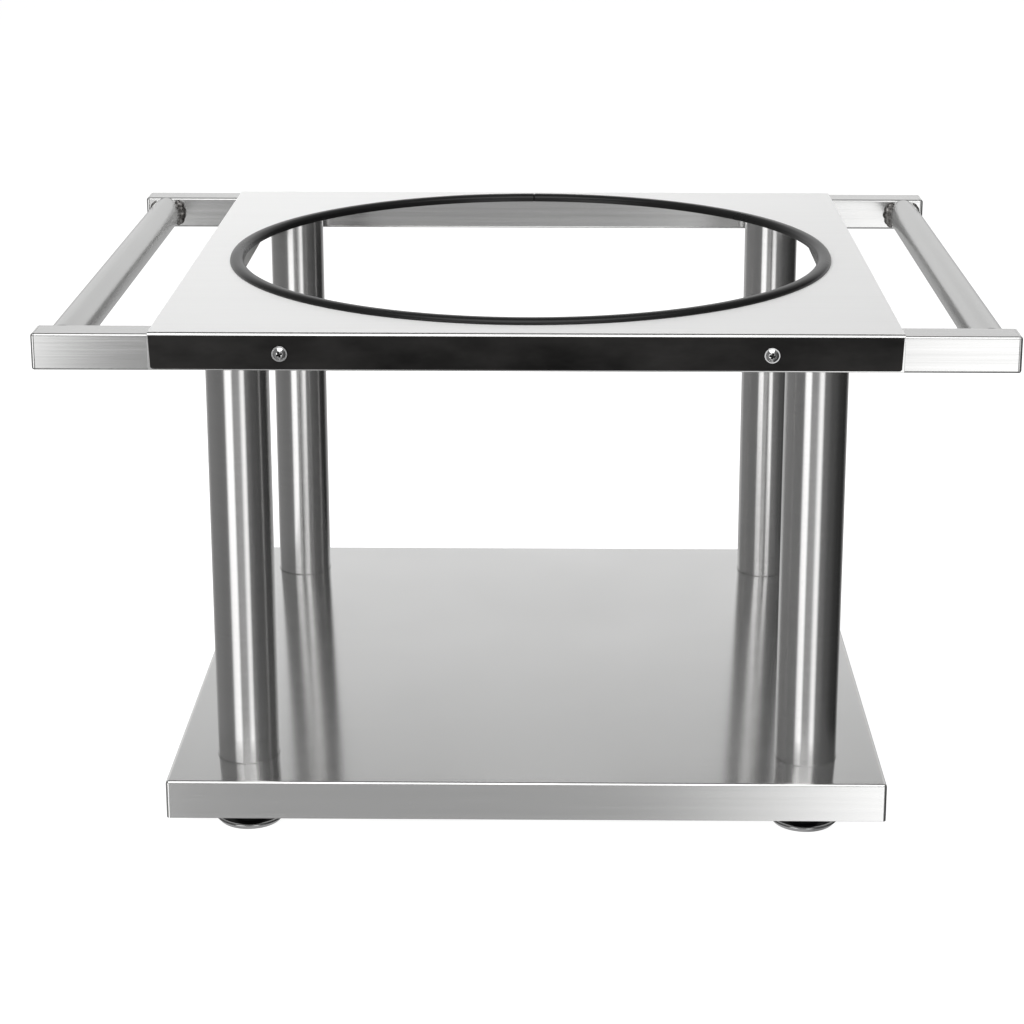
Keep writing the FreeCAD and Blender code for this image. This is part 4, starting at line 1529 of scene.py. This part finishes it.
@dataclass
class Studio:
    """Pale floor, white surroundings, soft lamps and the camera at the photograph's viewing angle."""

    frame_pixels: float = 1024.0
    focal_pixels: float = 2472.41
    centre_pixel: Pair = (540.0, 380.0)
    place: Triple = (29.19 * MM, -2194.08 * MM, 918.69 * MM)
    pitch: float = 0.26388
    yaw: float = -0.0094
    roll: float = 0.00123
    sensor: float = 36.0
    floor_half: float = 30.0
    floor_glow: float = 0.92
    floor_pale: float = 0.4
    lamps: tuple[Lamp, ...] = (
        Lamp("left_softbox", (-1.49, -2.6, 1.0), (-0.1, 0.0, 0.5), (1.2, 2.2), 4.0),
        Lamp("right_softbox", (0.98, -3.24, 1.0), (0.1, 0.0, 0.5), (1.45, 2.2), 4.0),
        Lamp("overhead_softbox", (-0.4, 0.9, 2.3), (0.0, 0.0, 0.4), (2.0, 1.4), 4.5),
    )
    cards: tuple[Card, ...] = (
        Card("left_card", (-3.3, -3.2, -1.8), (-0.84, -3.2, 1.7), (0.9, 0.4), 1.75, 1.0),
        Card("right_card", (0.16, -3.2, -1.8), (1.7, -3.2, 1.7), (0.72, 0.4), 1.45, 1.0),
        Card("front_card", (-1.1, -3.3, 2.0), (0.7, -3.3, 2.8), (0.3, 0.3), 1.3),
        Card("overhead_card", (-1.5, -2.8, 2.4), (1.5, -0.5, 2.4), (0.3, 0.3), 2.0),
    )
    walls: Stops = (
        (-180, 0.9), (-150, 0.84), (-128, 0.256), (-60, 0.192), (-14, 0.352), (6, 0.392), (35, 0.192),
        (60, 0.096), (100, 0.04), (130, 0.024), (150, 0.56), (165, 0.84), (180, 0.9),
    )
    ground: Stops = (
        (-180, 0.52), (-150, 0.48), (-128, 0.24), (-60, 0.192), (-14, 0.352), (6, 0.392), (35, 0.192),
        (60, 0.096), (100, 0.04), (130, 0.024), (150, 0.32), (165, 0.48), (180, 0.52),
    )
    ceiling: Stops = ((-180, 0.2), (-90, 0.2), (-30, 0.12), (30, 0.12), (90, 0.2), (180, 0.2))
    horizon: Pair = (-0.1, 0.02)
    wall_fade: Pair = (0.25, 0.6)

    def build(self) -> None:
        """Set up the camera, the light and the floor."""
        self.camera()
        self.world()
        self.floor()
        for light in (*self.lamps, *self.cards):
            light.build()
        bpy.context.scene.view_settings.view_transform = "Standard"

    def camera(self) -> None:
        """Place the camera: it looks along its yaw and pitch, and its shift keeps the photograph's frame."""
        data = bpy.data.cameras.new("photo_camera")
        data.sensor_width = self.sensor
        data.lens = self.focal_pixels / self.frame_pixels * self.sensor
        middle = self.frame_pixels / 2
        data.shift_x = (middle - self.centre_pixel[0]) / self.frame_pixels
        data.shift_y = (self.centre_pixel[1] - middle) / self.frame_pixels
        level = math.cos(self.pitch)
        ahead = Vector((math.sin(self.yaw) * level, math.cos(self.yaw) * level, -math.sin(self.pitch)))
        right = Vector((math.cos(self.yaw), -math.sin(self.yaw), 0.0))
        up = right.cross(ahead)
        turned_right = right * math.cos(self.roll) + up * math.sin(self.roll)
        turned_up = up * math.cos(self.roll) - right * math.sin(self.roll)
        turn = Matrix((turned_right, turned_up, -ahead)).transposed().to_4x4()
        camera = linked("photo_camera", data)
        camera.matrix_world = Matrix.Translation(self.place) @ turn
        bpy.context.scene.camera = camera

    def world(self) -> None:
        """Light the surroundings: white to the eye, and for other rays grey levels by compass direction.

        The compass angle runs from the camera's side to the right. Mirrored rays meet the white backdrop
        behind the cart and the darker room elsewhere; with height the level changes to the ceiling's.
        """
        world = bpy.data.worlds.new("studio")
        bpy.context.scene.world = world
        world.use_nodes = True
        shader = Shader(world.node_tree)
        x, y, z = shader.split(shader.node("ShaderNodeTexCoord").outputs["Generated"])
        compass = x.math("ARCTAN2", x, -1.0 * y) * (1 / math.tau) + 0.5
        walls, ground, ceiling = (
            shader.value(shader.node("ShaderNodeValToRGB", {"stops": self.on_ramp(stops)}, {0: compass}))
            for stops in (self.walls, self.ground, self.ceiling)
        )
        raised = z.step(*self.horizon)
        above = z.step(*self.wall_fade)
        level = (walls * raised + ground * (1.0 - raised)) * (1.0 - above) + ceiling * above
        seen = shader.seen()
        sockets = {"Color": (1.0, 1.0, 1.0, 1.0), "Strength": level * (1.0 - seen) + seen}
        shader.close(shader.node("ShaderNodeBackground", {}, sockets), "ShaderNodeOutputWorld")

    def on_ramp(self, stops: Stops) -> list[Pair]:
        """Compass stops as places from 0 to 1 on a ramp."""
        return [((angle + 180) / 360, level) for angle, level in stops]

    def floor(self) -> None:
        """Lay the floor: pale, with the cart's shadow, white to the eye and not seen by polished metal."""
        material, shader = new_material("pale_floor")
        pale = shader.node("ShaderNodeBsdfDiffuse", {}, {"Color": (*(self.floor_pale,) * 3, 1.0)})
        white = shader.node("ShaderNodeEmission", {}, {"Strength": shader.seen() * self.floor_glow})
        shader.close(shader.node("ShaderNodeAddShader", {}, {0: pale, 1: white}))
        reach = self.floor_half
        mesh = Shape().add(flat_net((-reach, -reach, 0), (reach, reach, 0))).mesh("studio_floor")
        mesh.materials.append(material)
        floor = linked("studio_floor", mesh)
        floor.visible_glossy = False


def main() -> None:
    """Build the cart's sub-assemblies and the studio."""
    logging.basicConfig(level=logging.INFO, format="%(message)s")
    for assembly in (TopSheet(), Frame(), Fascia(), Legs(), Shelf(), Feet(), Studio()):
        LOG.info("%s", type(assembly).__name__)
        assembly.build()


if __name__ == "__main__":
    main()
